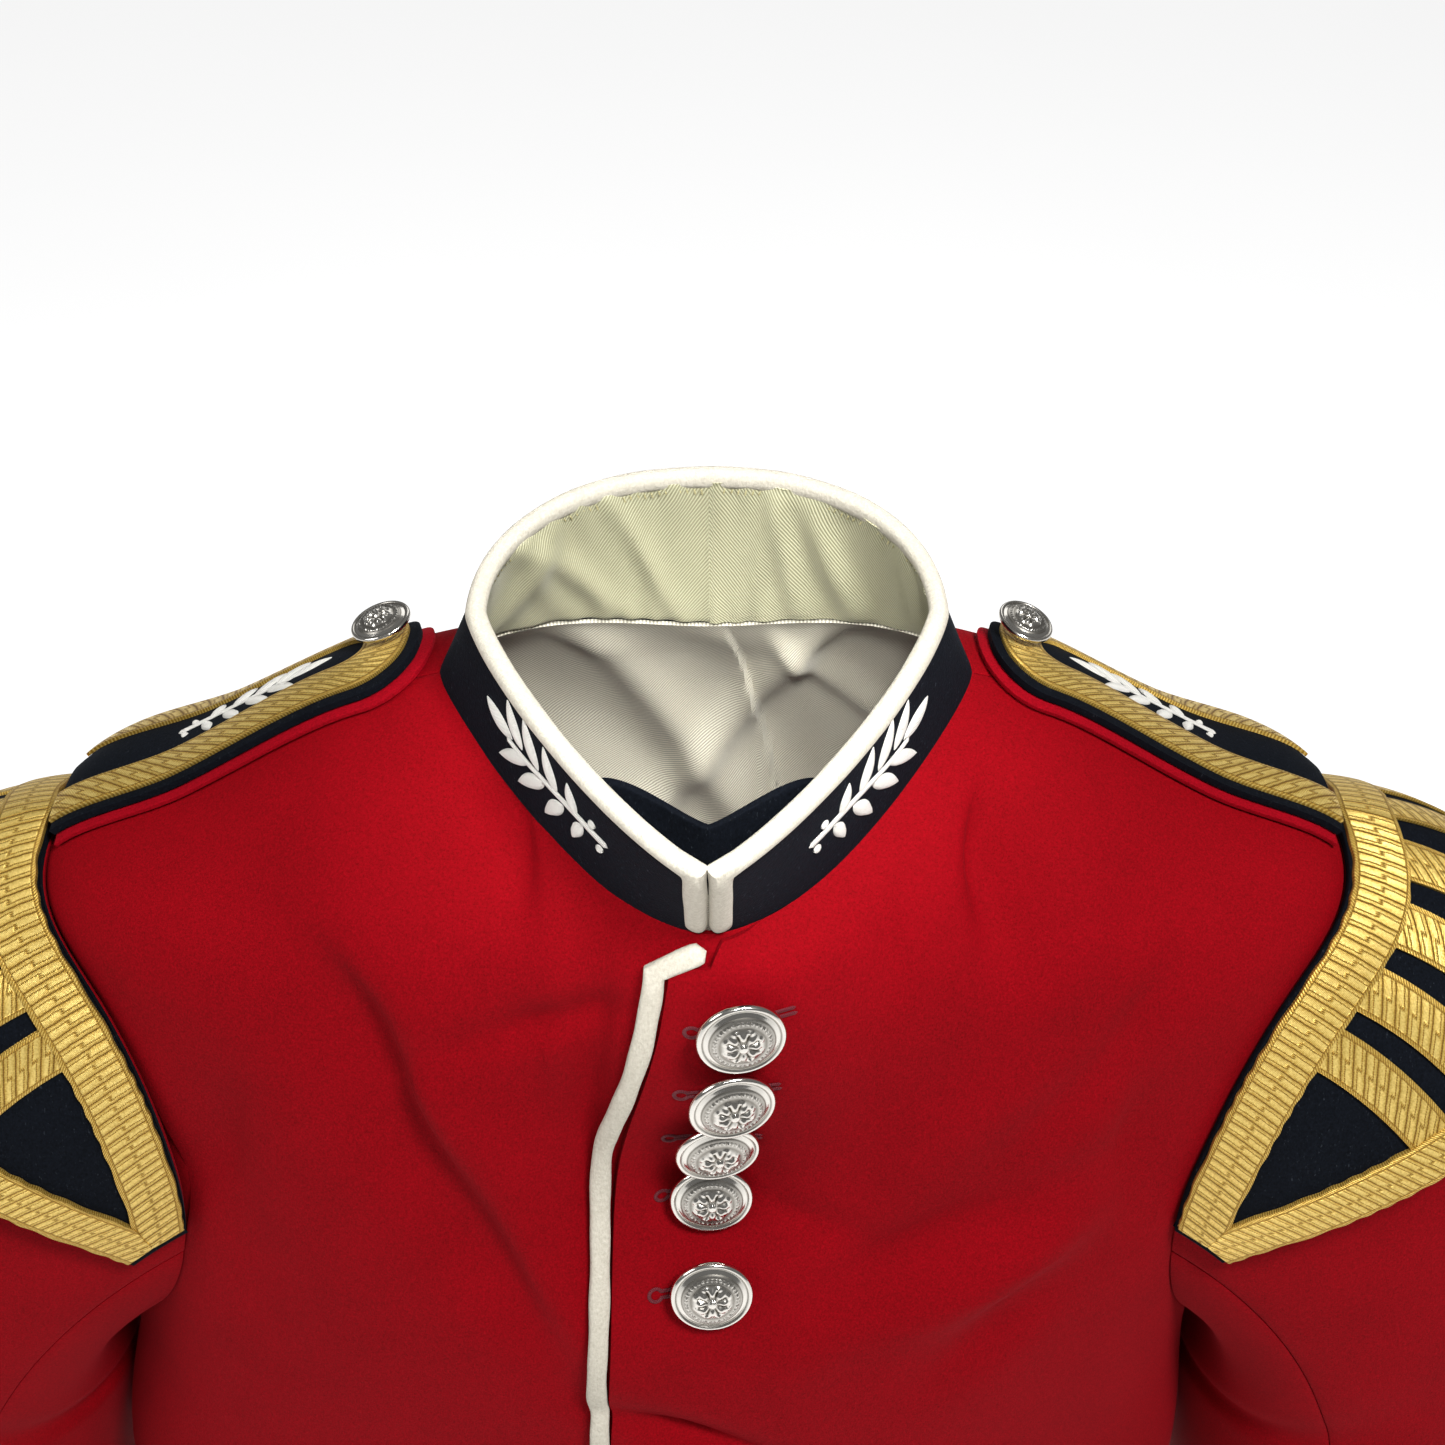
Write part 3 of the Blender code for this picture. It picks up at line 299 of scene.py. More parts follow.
BACK_CREASES = (
    Fold("shoulder drag left", 0.08, -0.095, 0.042, 0.01, 48.0, -0.0031),
    Fold("shoulder drag right", -0.084, -0.1, 0.04, 0.01, -46.0, -0.0031),
    Fold("armhole ridge left", 0.108, -0.185, 0.05, 0.01, 16.0, 0.0031),
    Fold("armhole ridge right", -0.11, -0.18, 0.046, 0.01, -18.0, 0.0031),
    Fold("waist wrinkle high", 0.03, -0.38, 0.048, 0.009, 84.0, -0.0034),
    Fold("waist wrinkle left", 0.105, -0.445, 0.04, 0.008, 76.0, -0.0037),
    Fold("waist wrinkle right", -0.1, -0.44, 0.044, 0.008, -78.0, -0.0037),
    Fold("skirt dip left", 0.045, -0.61, 0.08, 0.013, -4.0, -0.0041),
    Fold("skirt dip right", -0.05, -0.62, 0.07, 0.012, 5.0, -0.0041),
)

SLEEVE_RINGS = (
    SleeveRing("upper arm", 0.2555, 0.018, -0.29, 0.062, 0.066, 0.007),
    SleeveRing("elbow", 0.288, 0.014, -0.455, 0.057, 0.062, 0.0205),
    SleeveRing("cuff", 0.323, -0.014, -0.635, 0.05, 0.058, 0.008),
)

SLEEVE_FOLDS = (
    SleeveFold("elbow upper", 95.0, 1.86, 62.0, 0.055, 0.1, -0.0042),
    SleeveFold("elbow middle", 78.0, 2.0, 70.0, 0.05, -0.08, -0.005),
    SleeveFold("elbow lower", 100.0, 2.14, 58.0, 0.05, 0.12, -0.0036),
    SleeveFold("outer elbow", -30.0, 1.94, 60.0, 0.07, 0.06, -0.0022),
    SleeveFold("upper arm drag", 60.0, 1.25, 55.0, 0.08, -0.22, -0.0028),
    SleeveFold("upper arm drag behind", -80.0, 1.32, 60.0, 0.08, 0.2, -0.0026),
    SleeveFold("under the wing", 150.0, 0.86, 50.0, 0.07, 0.1, -0.003),
    SleeveFold("forearm", 40.0, 2.55, 60.0, 0.09, 0.16, -0.002),
    SleeveFold("forearm behind", -110.0, 2.48, 60.0, 0.08, -0.12, -0.0022),
)

SLEEVE_LENGTHS = np.array([0.0, 0.1, 0.24, 0.4, 0.58, 0.78, 1.0, 1.4, 1.8, 2.2, 2.6, 3.0])

PANEL_ROWS = np.array(
    [0.0, 0.5, 1.0, 1.5, 2.0, 2.5]
    + [3.0 + 1.5 * (1.0 - math.cos(math.pi * step / 8)) for step in range(9)]
    + [6.5, 7.0, 7.5, 8.0, 8.5, 9.0, 9.5, 10.0]
)


@dataclass(frozen=True)
class Hang:
    """The way the tunic hangs: its sides drift towards the wearer's right, most at the ribs."""

    least: float = 0.003
    swell: float = 0.02
    z: float = -0.37
    spread: float = 0.19
    from_x: float = 0.04
    fade: float = 0.1

    def moved(self, points: Array) -> Array:
        """Finished points, moved to where the hanging cloth holds them."""
        drift = self.least + self.swell * bell((points[..., 2] - self.z) / self.spread)
        shift = drift * smooth((np.abs(points[..., 0]) - self.from_x) / self.fade)
        moved = points.copy()
        moved[..., 0] -= shift
        return moved


@dataclass(frozen=True)
class BodyShape:
    """Outer face of the fronts and backs, by angle round the body and section row."""

    middle_y: float = 0.02
    shoulder_row: int = 3
    armpit_row: int = 6
    hem_row: int = 10
    fold_fade: float = 3.0
    edge_reach: float = 0.031
    edge_cutback: float = 0.021
    edge_fall: float = 0.078
    edge_start_z: float = -0.03
    lap_lift: float = 0.0033
    lap_drop: float = 0.62
    lap_drop_x: float = 0.004
    lap_drop_fade: float = 0.004
    lift_drop: float = 0.1
    lap_solid_x: float = 0.024
    lap_fade: float = 0.026
    lap_sewn_x: float = 0.004
    lap_sewn_fade: float = 0.01
    lap_sewn: float = 0.8
    lift_drop_x: float = 0.014
    table: Array = field(default_factory=lambda: np.array([astuple(section)[1:] for section in SECTIONS]))

    def relief(self, x: Array, z: Array, folds: tuple[Fold, ...]) -> Array:
        """How far folds make the cloth stand out at places of the front or the back."""
        total = np.zeros_like(x)
        for fold in folds:
            turn = math.radians(fold.lean)
            along = (z - fold.z) * math.cos(turn) + (x - fold.x) * math.sin(turn)
            across = (x - fold.x) * math.cos(turn) - (z - fold.z) * math.sin(turn)
            total = total + fold.depth * bell(along / fold.half_length) * bell(across / fold.half_width)
        return total

    def form(self, angle: Array, row: Array) -> Array:
        """Points of the outer face.

        Args:
            angle: Angle from the wearer's left, negative in front.
            row: Section row, 0 at the neck seam and 10 at the hem.

        Returns:
            The points, before any lap or lift.
        """
        angle, row = paired(angle, row)
        sizes = np.moveaxis(through_rows(self.table, row), -1, 0)
        half_width, front, back, z_front, z_side, z_back, *powers = sizes
        in_front = np.sin(angle) < 0.0
        x, y = ring_curve(angle, half_width, self.middle_y, front, back, *powers)
        share = np.sin(angle) ** 2
        z = z_side + (np.where(in_front, z_front, z_back) - z_side) * share
        front_relief = self.relief(x, z, FRONT_FOLDS + FRONT_CREASES)
        back_relief = self.relief(x, z, BACK_FOLDS + BACK_CREASES)
        relief = np.where(in_front, front_relief, back_relief) * np.minimum(1.0, self.fold_fade * share)
        return np.stack((x + np.cos(angle) * relief, y + np.sin(angle) * relief, z), axis=-1)

    def normal(self, angle: Array, row: Array) -> Array:
        """Outward unit normals."""
        angle, row = paired(angle, row)
        return -facing(self.form, angle, np.clip(row, 0.01, self.hem_row - 0.01), BODY_STEP)

    def at(self, angle: Array, row: Array, out: Number = 0.0) -> Array:
        """Points moved out from the face."""
        return self.form(angle, row) + self.normal(angle, row) * np.asarray(out, float)[..., None]

    def angle_at_x(self, x: Array, row: Array) -> Array:
        """Angle in front at which a section row passes a given x."""
        x, row = paired(x, row)
        turn = np.zeros_like(x)
        for _ in range(12):
            spot = self.form(turn - QUARTER, row)
            turn = np.arcsin(x / np.hypot(spot[..., 0], spot[..., 1] - self.middle_y))
        return turn - QUARTER

    def row_at(self, x: Array, z: Array) -> Array:
        """Section row at which the front passes given places."""
        low, high = np.zeros_like(x), np.full_like(x, float(self.hem_row))
        for _ in range(26):
            row = 0.5 * (low + high)
            above = self.form(self.angle_at_x(x, row), row)[..., 2] > z
            low, high = np.where(above, row, low), np.where(above, high, row)
        return 0.5 * (low + high)

    def lap_edge_x(self, row: Array) -> Array:
        """Place of the left front's edge at a row."""
        z = self.form(np.full_like(row, -QUARTER), row)[..., 2]
        return -self.edge_reach + self.edge_cutback * bell((z - self.edge_start_z) / self.edge_fall)

    def lap_row(self, angle: Array, row: Array) -> Array:
        """Row of the left front's points: its top is cut lower past the middle."""
        x = self.form(angle, row)[..., 0]
        drop = self.lap_drop * smooth((self.lap_drop_x - x) / self.lap_drop_fade)
        lifted = self.lift_drop * smooth((self.lift_drop_x - x) / self.lap_drop_fade)
        return row + np.maximum(drop, lifted) * np.maximum(0.0, 1.0 - row)

    def lap_out(self, x: Array, row: Array) -> Array:
        """How far the left front is lifted where it lies over the right one, less so at the collar."""
        sewn_down = smooth((x - self.lap_sewn_x) / self.lap_sewn_fade) * smooth(1.0 - row)
        lift = self.lap_lift * smooth((self.lap_solid_x + self.lap_fade - x) / self.lap_fade)
        return lift * (1.0 - self.lap_sewn * sewn_down)

    def front_at(self, x: Array, z: Array, out: float) -> Pair:
        """Points on the left front at given places, and the normals there."""
        row = self.row_at(x, z)
        angle = self.angle_at_x(x, row)
        normal = self.normal(angle, row)
        spots = self.form(angle, row)
        return spots + normal * (self.lap_out(spots[..., 0], row) + out)[..., None], normal

    def shoulder_place(self, x: Array, y: Array) -> Pair:
        """Angle and row below places on top of the shoulder, by Newton's steps."""
        angle = np.arctan2(y - self.middle_y, x)
        row = np.full_like(x, 2.0)
        step = 0.001
        for _ in range(14):
            here = self.form(angle, row)
            by_angle = (self.form(angle + step, row) - here) / step
            by_row = (self.form(angle, row + step) - here) / step
            miss_x, miss_y = x - here[..., 0], y - here[..., 1]
            area = by_angle[..., 0] * by_row[..., 1] - by_angle[..., 1] * by_row[..., 0]
            angle = angle + (miss_x * by_row[..., 1] - miss_y * by_row[..., 0]) / area
            row = row + (by_angle[..., 0] * miss_y - by_angle[..., 1] * miss_x) / area
            row = np.clip(row, 0.02, self.shoulder_row - 0.02)
        return angle, row


@dataclass(frozen=True)
class SleeveShape:
    """Outer face of the wearer's left sleeve; the right one is its mirror image."""

    body: BodyShape
    in_front: float = 21.0
    in_back: float = 19.0
    sag: float = 1.357
    tilt: float = math.radians(12.0)
    fall_top: float = 0.12
    fall_bottom: float = 0.75
    spread: float = 0.22
    full_turn: float = math.radians(215.0)
    table: Array = field(default_factory=lambda: np.array([astuple(ring)[1:] for ring in SLEEVE_RINGS]))

    def armhole_place(self, turn: Array) -> Pair:
        """Angle and row on the body of the armhole seam; turn runs from the top by the front."""
        down = 0.5 * (1.0 - np.cos(turn))
        in_front = np.sin(turn) >= 0.0
        reach = np.where(in_front, self.in_front, self.in_back)
        inward = np.radians(reach) * np.sqrt(np.maximum(0.0, np.sin(math.pi * down**self.sag)))
        span = self.body.armpit_row - self.body.shoulder_row
        return np.where(in_front, -inward, inward), self.body.shoulder_row + span * down

    def armhole(self, turn: Array) -> Array:
        """Points of the armhole seam."""
        return self.body.form(*self.armhole_place(np.asarray(turn, float)))

    def armhole_angle(self, row: Array, front: bool) -> Array:
        """Angle of the armhole's edge at section rows, on the front or the back."""
        span = self.body.armpit_row - self.body.shoulder_row
        down = (row - self.body.shoulder_row) / span
        turn = np.arccos(1.0 - 2.0 * np.clip(down, 0.0, 1.0))
        angle = self.armhole_place(turn if front else -turn)[0]
        return np.where((down > 0.0) & (down < 1.0), angle, 0.0)

    def ring(self, turn: Array, ring: Array) -> Array:
        """Points round the arm at a ring number."""
        x, y, z, half_width, half_depth, fullness = np.moveaxis(through_rows(self.table, ring), -1, 0)
        full = fullness * np.maximum(0.0, np.cos(turn - self.full_turn)) ** 2
        across = half_width * np.cos(turn) + full * math.cos(self.full_turn)
        fore = half_depth * np.sin(turn) + full * math.sin(self.full_turn)
        x, z = x + math.cos(self.tilt) * across, z + math.sin(self.tilt) * across
        return np.stack((x, y - fore, z), axis=-1)

    def form(self, turn: Array, length: Array) -> Array:
        """Points of the outer face: length 0 to 1 is the cap, 1 to 3 the arm down to the cuff."""
        turn, length = paired(turn, length)
        arm = self.ring(turn, np.maximum(length, 1.0) - 1.0)
        part = np.clip(length, 0.0, 1.0)[..., None]
        start, end = self.armhole(turn), self.ring(turn, np.zeros_like(turn))
        chord = np.linalg.norm(end - start, axis=-1, keepdims=True)
        fall = self.fall_bottom + (self.fall_top - self.fall_bottom) * 0.5 * (1.0 + np.cos(turn))
        leave = unit(np.stack((np.ones_like(turn), -self.spread * np.sin(turn), -fall), axis=-1)) * chord
        arrive = np.array((math.sin(self.tilt), 0.0, -math.cos(self.tilt))) * chord
        cap = cubic(part, start, leave, end, arrive)
        return np.where((length >= 1.0)[..., None], arm, cap)

    def relief(self, turn: Array, length: Array) -> Array:
        """Creases of the sleeve."""
        total = np.zeros_like(turn)
        for fold in SLEEVE_FOLDS:
            away = (np.degrees(turn) - fold.turn + 180.0) % 360.0 - 180.0
            middle = fold.length + fold.slant * away / 90.0
            height = fold.depth * bell(away / fold.half_turn)
            total = total + height * bell((length - middle) / fold.half_length)
        return total * smooth((length - 0.45) / 0.3)

    def at(self, turn: Array, length: Array, out: Number = 0.0, creased: bool = False) -> Array:
        """Points moved out from the face, with its creases if asked."""
        turn, length = paired(turn, length)
        normal = facing(self.form, turn, np.clip(length, 0.01, 2.99), SLEEVE_STEP)
        shift = np.asarray(out, float)
        if creased:
            shift = shift + self.relief(turn, length)
        return self.form(turn, np.clip(length, 0.0, 3.0)) + normal * shift[..., None]


@dataclass(frozen=True)
class WingShape:
    """Crescent over the sleeve head, by share from tip to tip and reach from the seam."""

    sleeve: SleeveShape
    tip: float = 105.0
    tip_depth: float = 0.02
    swell: float = 0.07
    stand: float = 0.003
    flare: float = 0.01
    start: float = 0.0004
    edge: float = 0.0008
    inner_width: float = 0.0165
    border_width: float = 0.0135
    samples: int = 120

    def __post_init__(self) -> None:
        """Works out the seam's lengths and the cap's lengths at even reaches."""
        turns = np.linspace(math.radians(self.tip), -math.radians(self.tip), self.samples)
        object.__setattr__(self, "turns", turns)
        object.__setattr__(self, "lengths", running_length(self.sleeve.armhole(turns)))
        grid_turns = np.linspace(math.radians(self.tip + 3.0), -math.radians(self.tip + 3.0), 160)
        steps = np.linspace(0.0, 1.0, 40)
        reaches = np.linspace(0.0, 0.12, 80)
        rows = []
        for turn in grid_turns:
            line = self.sleeve.form(np.full_like(steps, turn), steps)
            rows.append(np.interp(reaches, running_length(line), steps))
        object.__setattr__(self, "grid_turns", grid_turns)
        object.__setattr__(self, "grid_reaches", reaches)
        object.__setattr__(self, "grid", np.array(rows))

    @property
    def seam(self) -> float:
        """Length of the wing's seam."""
        return float(self.lengths[-1])

    def cap_length(self, turn: Array, reach: Array) -> Array:
        """Sleeve length numbers at distances out from the armhole seam."""
        span = self.grid_turns[0] - self.grid_turns[-1]
        across = (self.grid_turns[0] - turn) / span * (len(self.grid_turns) - 1)
        down = reach / self.grid_reaches[-1] * (len(self.grid_reaches) - 1)
        first = np.clip(np.floor(across).astype(int), 0, len(self.grid_turns) - 2)
        second = np.clip(np.floor(down).astype(int), 0, len(self.grid_reaches) - 2)
        part, part_down = across - first, down - second
        near = self.grid[first, second] * (1 - part) + self.grid[first + 1, second] * part
        far = self.grid[first, second + 1] * (1 - part) + self.grid[first + 1, second + 1] * part
        return near * (1 - part_down) + far * part_down

    def depth(self, share: Array) -> Array:
        """How far the wing reaches out from the seam."""
        return self.tip_depth + self.swell * np.sin(math.pi * np.clip(share, 0.0, 1.0))

    def at(self, share: Array, reach: Array, out: Number = 0.0) -> Array:
        """Points on the wing, moved out from its face."""
        share, reach = paired(share, reach)
        turn = np.interp(share * self.seam, self.lengths, self.turns)
        stand = self.stand + self.flare * (reach / (self.tip_depth + self.swell)) ** 1.5
        return self.sleeve.at(turn, self.cap_length(turn, reach), stand + out)

    def lace_reaches(self, share: Array) -> tuple[Array, Array, Array, Array]:
        """Distances from the seam of the laces' four edges."""
        first = np.full_like(share, self.start + self.edge)
        last = self.depth(share) - self.edge
        middle = first + (last - first) * self.inner_width / (self.inner_width + self.border_width)
        inner = np.minimum(first + self.inner_width, middle)
        return first, inner, np.maximum(last - self.border_width, middle), last


@dataclass(frozen=True)
class CollarShape:
    """Outer face of the stand collar, by angle and rise from 0 at the seam to 1 at the top."""

    body: BodyShape
    half_width: float = 0.0632
    front: float = -0.083
    back: float = 0.0565
    middle_y: float = 0.004
    square_front: float = 1.24
    square_back: float = 2.2
    back_z: float = 0.049
    slope: float = math.tan(math.radians(14.1))
    near: float = 0.02

    def foot(self, angle: Array) -> Array:
        """Points of the neck seam."""
        return self.body.form(angle, np.zeros_like(angle))

    def top(self, angle: Array) -> Array:
        """Points of the top edge."""
        powers = (self.square_front, self.square_back)
        x, y = ring_curve(angle, self.half_width, self.middle_y, self.front, self.back, *powers)
        return np.stack((x, y, self.back_z + (y - self.back) * self.slope), axis=-1)

    def form(self, angle: Array, rise: Array) -> Array:
        """Points of the outer face."""
        angle, rise = paired(angle, rise)
        foot = self.foot(angle)
        return foot + (self.top(angle) - foot) * rise[..., None]

    def normal(self, angle: Array) -> Array:
        """Outward unit normals at mid height."""
        near = np.clip(angle, -QUARTER + self.near, QUARTER - self.near)
        return facing(self.form, near, np.full_like(near, 0.5), COLLAR_STEP)

    def at(self, angle: Array, rise: Array, out: Number = 0.0) -> Array:
        """Points moved out from the face."""
        angle, rise = paired(angle, rise)
        return self.form(angle, rise) + self.normal(angle) * np.asarray(out, float)[..., None]

    def span(self, angle: Array) -> Array:
        """Height of the collar along its own face."""
        return np.linalg.norm(self.top(angle) - self.foot(angle), axis=-1)


@dataclass(frozen=True)
class StrapShape:
    """Shoulder strap's plan, laid on the shoulder."""

    body: BodyShape
    neck_x: float = 0.0785
    end_x: float = 0.1865
    y: float = 0.0345
    half_neck: float = 0.025
    half_end: float = 0.029
    round: float = 0.017
    end_power: float = 0.8
    least_half: float = 0.0035
    crowd: float = 1.6

    def half(self, x: Array, inset: Number) -> Array:
        """Half-width of the strap at x, less an inset, with its rounded neck end."""
        share = (x - self.neck_x) / (self.end_x - self.neck_x)
        half = self.half_neck + (self.half_end - self.half_neck) * share - inset
        into = (x - self.neck_x - inset) / (self.round - 0.5 * inset)
        rounded = np.sqrt(np.maximum(0.0, 1.0 - (1.0 - np.clip(into, 0.0, 1.0)) ** 2)) ** self.end_power
        return half * np.where(into >= 1.0, 1.0, rounded)

    def x_at(self, share: Array, inset: Number) -> Array:
        """Place along the strap, closer together round the neck end."""
        start = self.neck_x + inset
        return start + (self.end_x - start) * share**self.crowd

    def at(self, x: Array, y: Array, *outs: float) -> list[Array]:
        """Points above places on the shoulder, one array for each height."""
        x, y = paired(x, y)
        angle, row = self.body.shoulder_place(x, y)
        spots, normals = self.body.form(angle, row), self.body.normal(angle, row)
        return [spots + normals * np.asarray(out, float)[..., None] for out in outs]


# Pieces in the making


def linked(name: str, data: bpy.types.ID) -> Object:
    """New object of the scene for a mesh, camera or light."""
    made = bpy.data.objects.new(name, data)
    bpy.context.scene.collection.objects.link(made)
    return made


class Piece:
    """A mesh in the making, from bmesh operators, with flat lengths as its UV map."""

    hang = Hang()

    def __init__(self, name: str, side: Side = Side.LEFT) -> None:
        """Starts an empty mesh; the right side mirrors what is added."""
        self.name = name
        self.side = side
        self.work = bmesh.new()
        self.flat = self.work.loops.layers.uv.new(UV_NAME)
        self.area = 0.0
        self.width = 0.0
        self.length = 0.0

    def placed(self, points: Array) -> Array:
        """Points on this piece's side, where the hanging cloth holds them."""
        return self.hang.moved(points * np.array((self.side.value, 1.0, 1.0)))

    def flat_lengths(self, points: Array, columns: int, rows: int) -> Array:
        """Flat place of each point of a grid, and the cut's size for the record.

        Args:
            points: The grid's points, row by row.
            columns: Number of columns.
            rows: Number of rows.

        Returns:
            Distance across from the middle and distance down, for each point.
        """
        grid = points.reshape(rows + 1, columns + 1, 3)
        across = np.linalg.norm(np.diff(grid, axis=1), axis=-1)
        down = np.linalg.norm(np.diff(grid, axis=0), axis=-1)
        over = np.concatenate((np.zeros((rows + 1, 1)), np.cumsum(across, axis=1)), axis=1)
        along = np.concatenate((np.zeros((1, columns + 1)), np.cumsum(down, axis=0)), axis=0)
        first, second = grid[1:, 1:] - grid[:-1, :-1], grid[1:, :-1] - grid[:-1, 1:]
        self.area += float(np.linalg.norm(np.cross(first, second), axis=-1).sum() * 0.5)
        self.width = max(self.width, float(over[:, -1].max()))
        self.length = max(self.length, float(along[-1].max()))
        over = over - 0.5 * over[:, -1:]
        return np.stack((over, along), axis=-1).reshape(-1, 2)

    def mark(self, faces: list[bmesh.types.BMFace], places: FlatPlaces) -> None:
        """Writes each corner's flat place to the UV map."""
        for face in faces:
            for loop in face.loops:
                loop[self.flat].uv = places[loop.vert]

    def add_grid(self, columns: int, rows: int) -> tuple[list[bmesh.types.BMVert], Array, Array]:
        """Adds a flat grid, and gives its points and their numbers from 0 to 1 across and down."""
        verts = bmesh.ops.create_grid(self.work, x_segments=columns, y_segments=rows, size=0.5)["verts"]
        across, down = (np.array([vert.co[axis] for vert in verts]) + 0.5 for axis in (0, 1))
        return verts, across, down

    def add_wall(
        self, layers: Layers, columns: int, rows: int, rim: float = 0.0, flat: Surface | None = None
    ) -> None:
        """Adds a closed wall between two surfaces of the same two numbers.

        Args:
            layers: Gives outer and inner points for numbers from 0 to 1 across and down.
            columns: Grid columns.
            rows: Grid rows.
            rim: Radius of the rounded rim, or 0 for a sharp one.
            flat: Gives the UV map's places, where the lengths along the grid don't serve.
        """
        first, u, v = self.add_grid(columns, rows)
        grids = (first, self.add_grid(columns, rows)[0])
        outer, inner = (self.placed(points) for points in layers(u, v))
        lengths = self.flat_lengths(outer, columns, rows)
        places = flat(u, v) if flat else lengths
        lookup: FlatPlaces = {}
        for verts, points in zip(grids, (outer, inner)):
            for vert, point, place in zip(verts, points.tolist(), places.tolist()):
                vert.co = point
                lookup[vert] = tuple(place)
        faces = list({face for verts in grids for vert in verts for face in vert.link_faces})
        rims = list({edge for face in faces for edge in face.edges if edge.is_boundary})
        faces += bmesh.ops.bridge_loops(self.work, edges=rims)["faces"]
        self.mark(faces, lookup)
        if rim:
            bmesh.ops.bevel(
                self.work, geom=rims, offset=rim, offset_type="OFFSET", segments=2, profile=0.5,
                affect="EDGES", clamp_overlap=True, material=-1,
            )

    def add_sweep(
        self, middle: Array, out: Array, half_width: Number, half_thick: Number,
        sides: int, square: float = 2.4,
    ) -> None:
        """Adds a closed strip or cord swept along a line, with mitred turns and rounded ends.

        Args:
            middle: Points of the line.
            out: Direction that the strip's face looks in at each point.
            half_width: Half of the strip's width.
            half_thick: Half of its thickness.
            sides: Sides round the strip.
            square: Power of the cross-section's curve.
        """
        steps = unit(np.diff(middle, axis=0))
        before = np.concatenate((steps[:1], steps))
        after = np.concatenate((steps, steps[-1:]))
        tangent = unit(before + after)
        mitre = 1.0 / np.sqrt(np.maximum(0.3, 0.5 * (1.0 + np.sum(before * after, axis=-1))))
        across = unit(np.cross(tangent, out))
        out = unit(np.cross(across, tangent))
        along = running_length(middle)
        wide = np.broadcast_to(np.asarray(half_width, float), along.shape)
        thick = np.broadcast_to(np.asarray(half_thick, float), along.shape)
        from_end = np.minimum(along, along[-1] - along) / np.maximum(wide, 1e-9)
        ends = np.sqrt(np.clip(1.0 - (1.0 - np.clip(from_end, 0.0, 1.0)) ** 2, 0.0, 1.0))
        rows = len(middle) - 1
        verts, u, v = self.add_grid(sides, rows)
        number = np.rint(v * rows).astype(int)
        turn = 2.0 * math.pi * u
        over = np.sign(np.cos(turn)) * np.abs(np.cos(turn)) ** (2.0 / square)
        high = np.sign(np.sin(turn)) * np.abs(np.sin(turn)) ** (2.0 / square)
        over = over * (wide * mitre * ends)[number]
        high = high * (thick * ends)[number]
        points = self.placed(middle[number] + across[number] * over[:, None] + out[number] * high[:, None])
        around = 2.0 * (wide + thick)[number] * u
        lookup: FlatPlaces = {}
        for vert, point, place in zip(verts, points.tolist(), zip(around.tolist(), along[number].tolist())):
            vert.co = point
            lookup[vert] = place
        faces = list({face for vert in verts for face in vert.link_faces})
        self.mark(faces, lookup)
        bmesh.ops.remove_doubles(self.work, verts=verts, dist=MERGE)
        edges = [edge for edge in self.work.edges if edge.is_boundary]
        if edges:
            bmesh.ops.holes_fill(self.work, edges=edges)

    def finish(self, material: Material, slot: str, nodes: list[str], sharp: float = 52.0) -> Object:
        """Turns the work into an object that rides on the frame.

        Args:
            material: The piece's finish.
            slot: The record's material slot; not used.
            nodes: The solids that the piece stands for.
            sharp: Angle in degrees past which an edge is drawn sharp.

        Returns:
            The finished object.
        """
        bmesh.ops.remove_doubles(self.work, verts=self.work.verts, dist=MERGE)
        bmesh.ops.recalc_face_normals(self.work, faces=self.work.faces)
        mesh = bpy.data.meshes.new(self.name)
        self.work.to_mesh(mesh)
        self.work.free()
        mesh.shade_smooth()
        mesh.set_sharp_from_angle(angle=math.radians(sharp))
        mesh.materials.append(material)
        made = linked(self.name, mesh)
        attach(made, "root")
        if nodes:
            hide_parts(*nodes)
        log.info("%s: %d faces", self.name, len(mesh.polygons))
        return made

    def declare(
        self, made: Object, held: Held, rests_on: tuple[str, ...] = (), with_pieces: tuple[Object, ...] = ()
    ) -> None:
        area = min(self.area, self.width * self.length)
        log.info("  flat cut %.3f by %.3f m, %.4f m2", self.width, self.length, area)


# Finishes


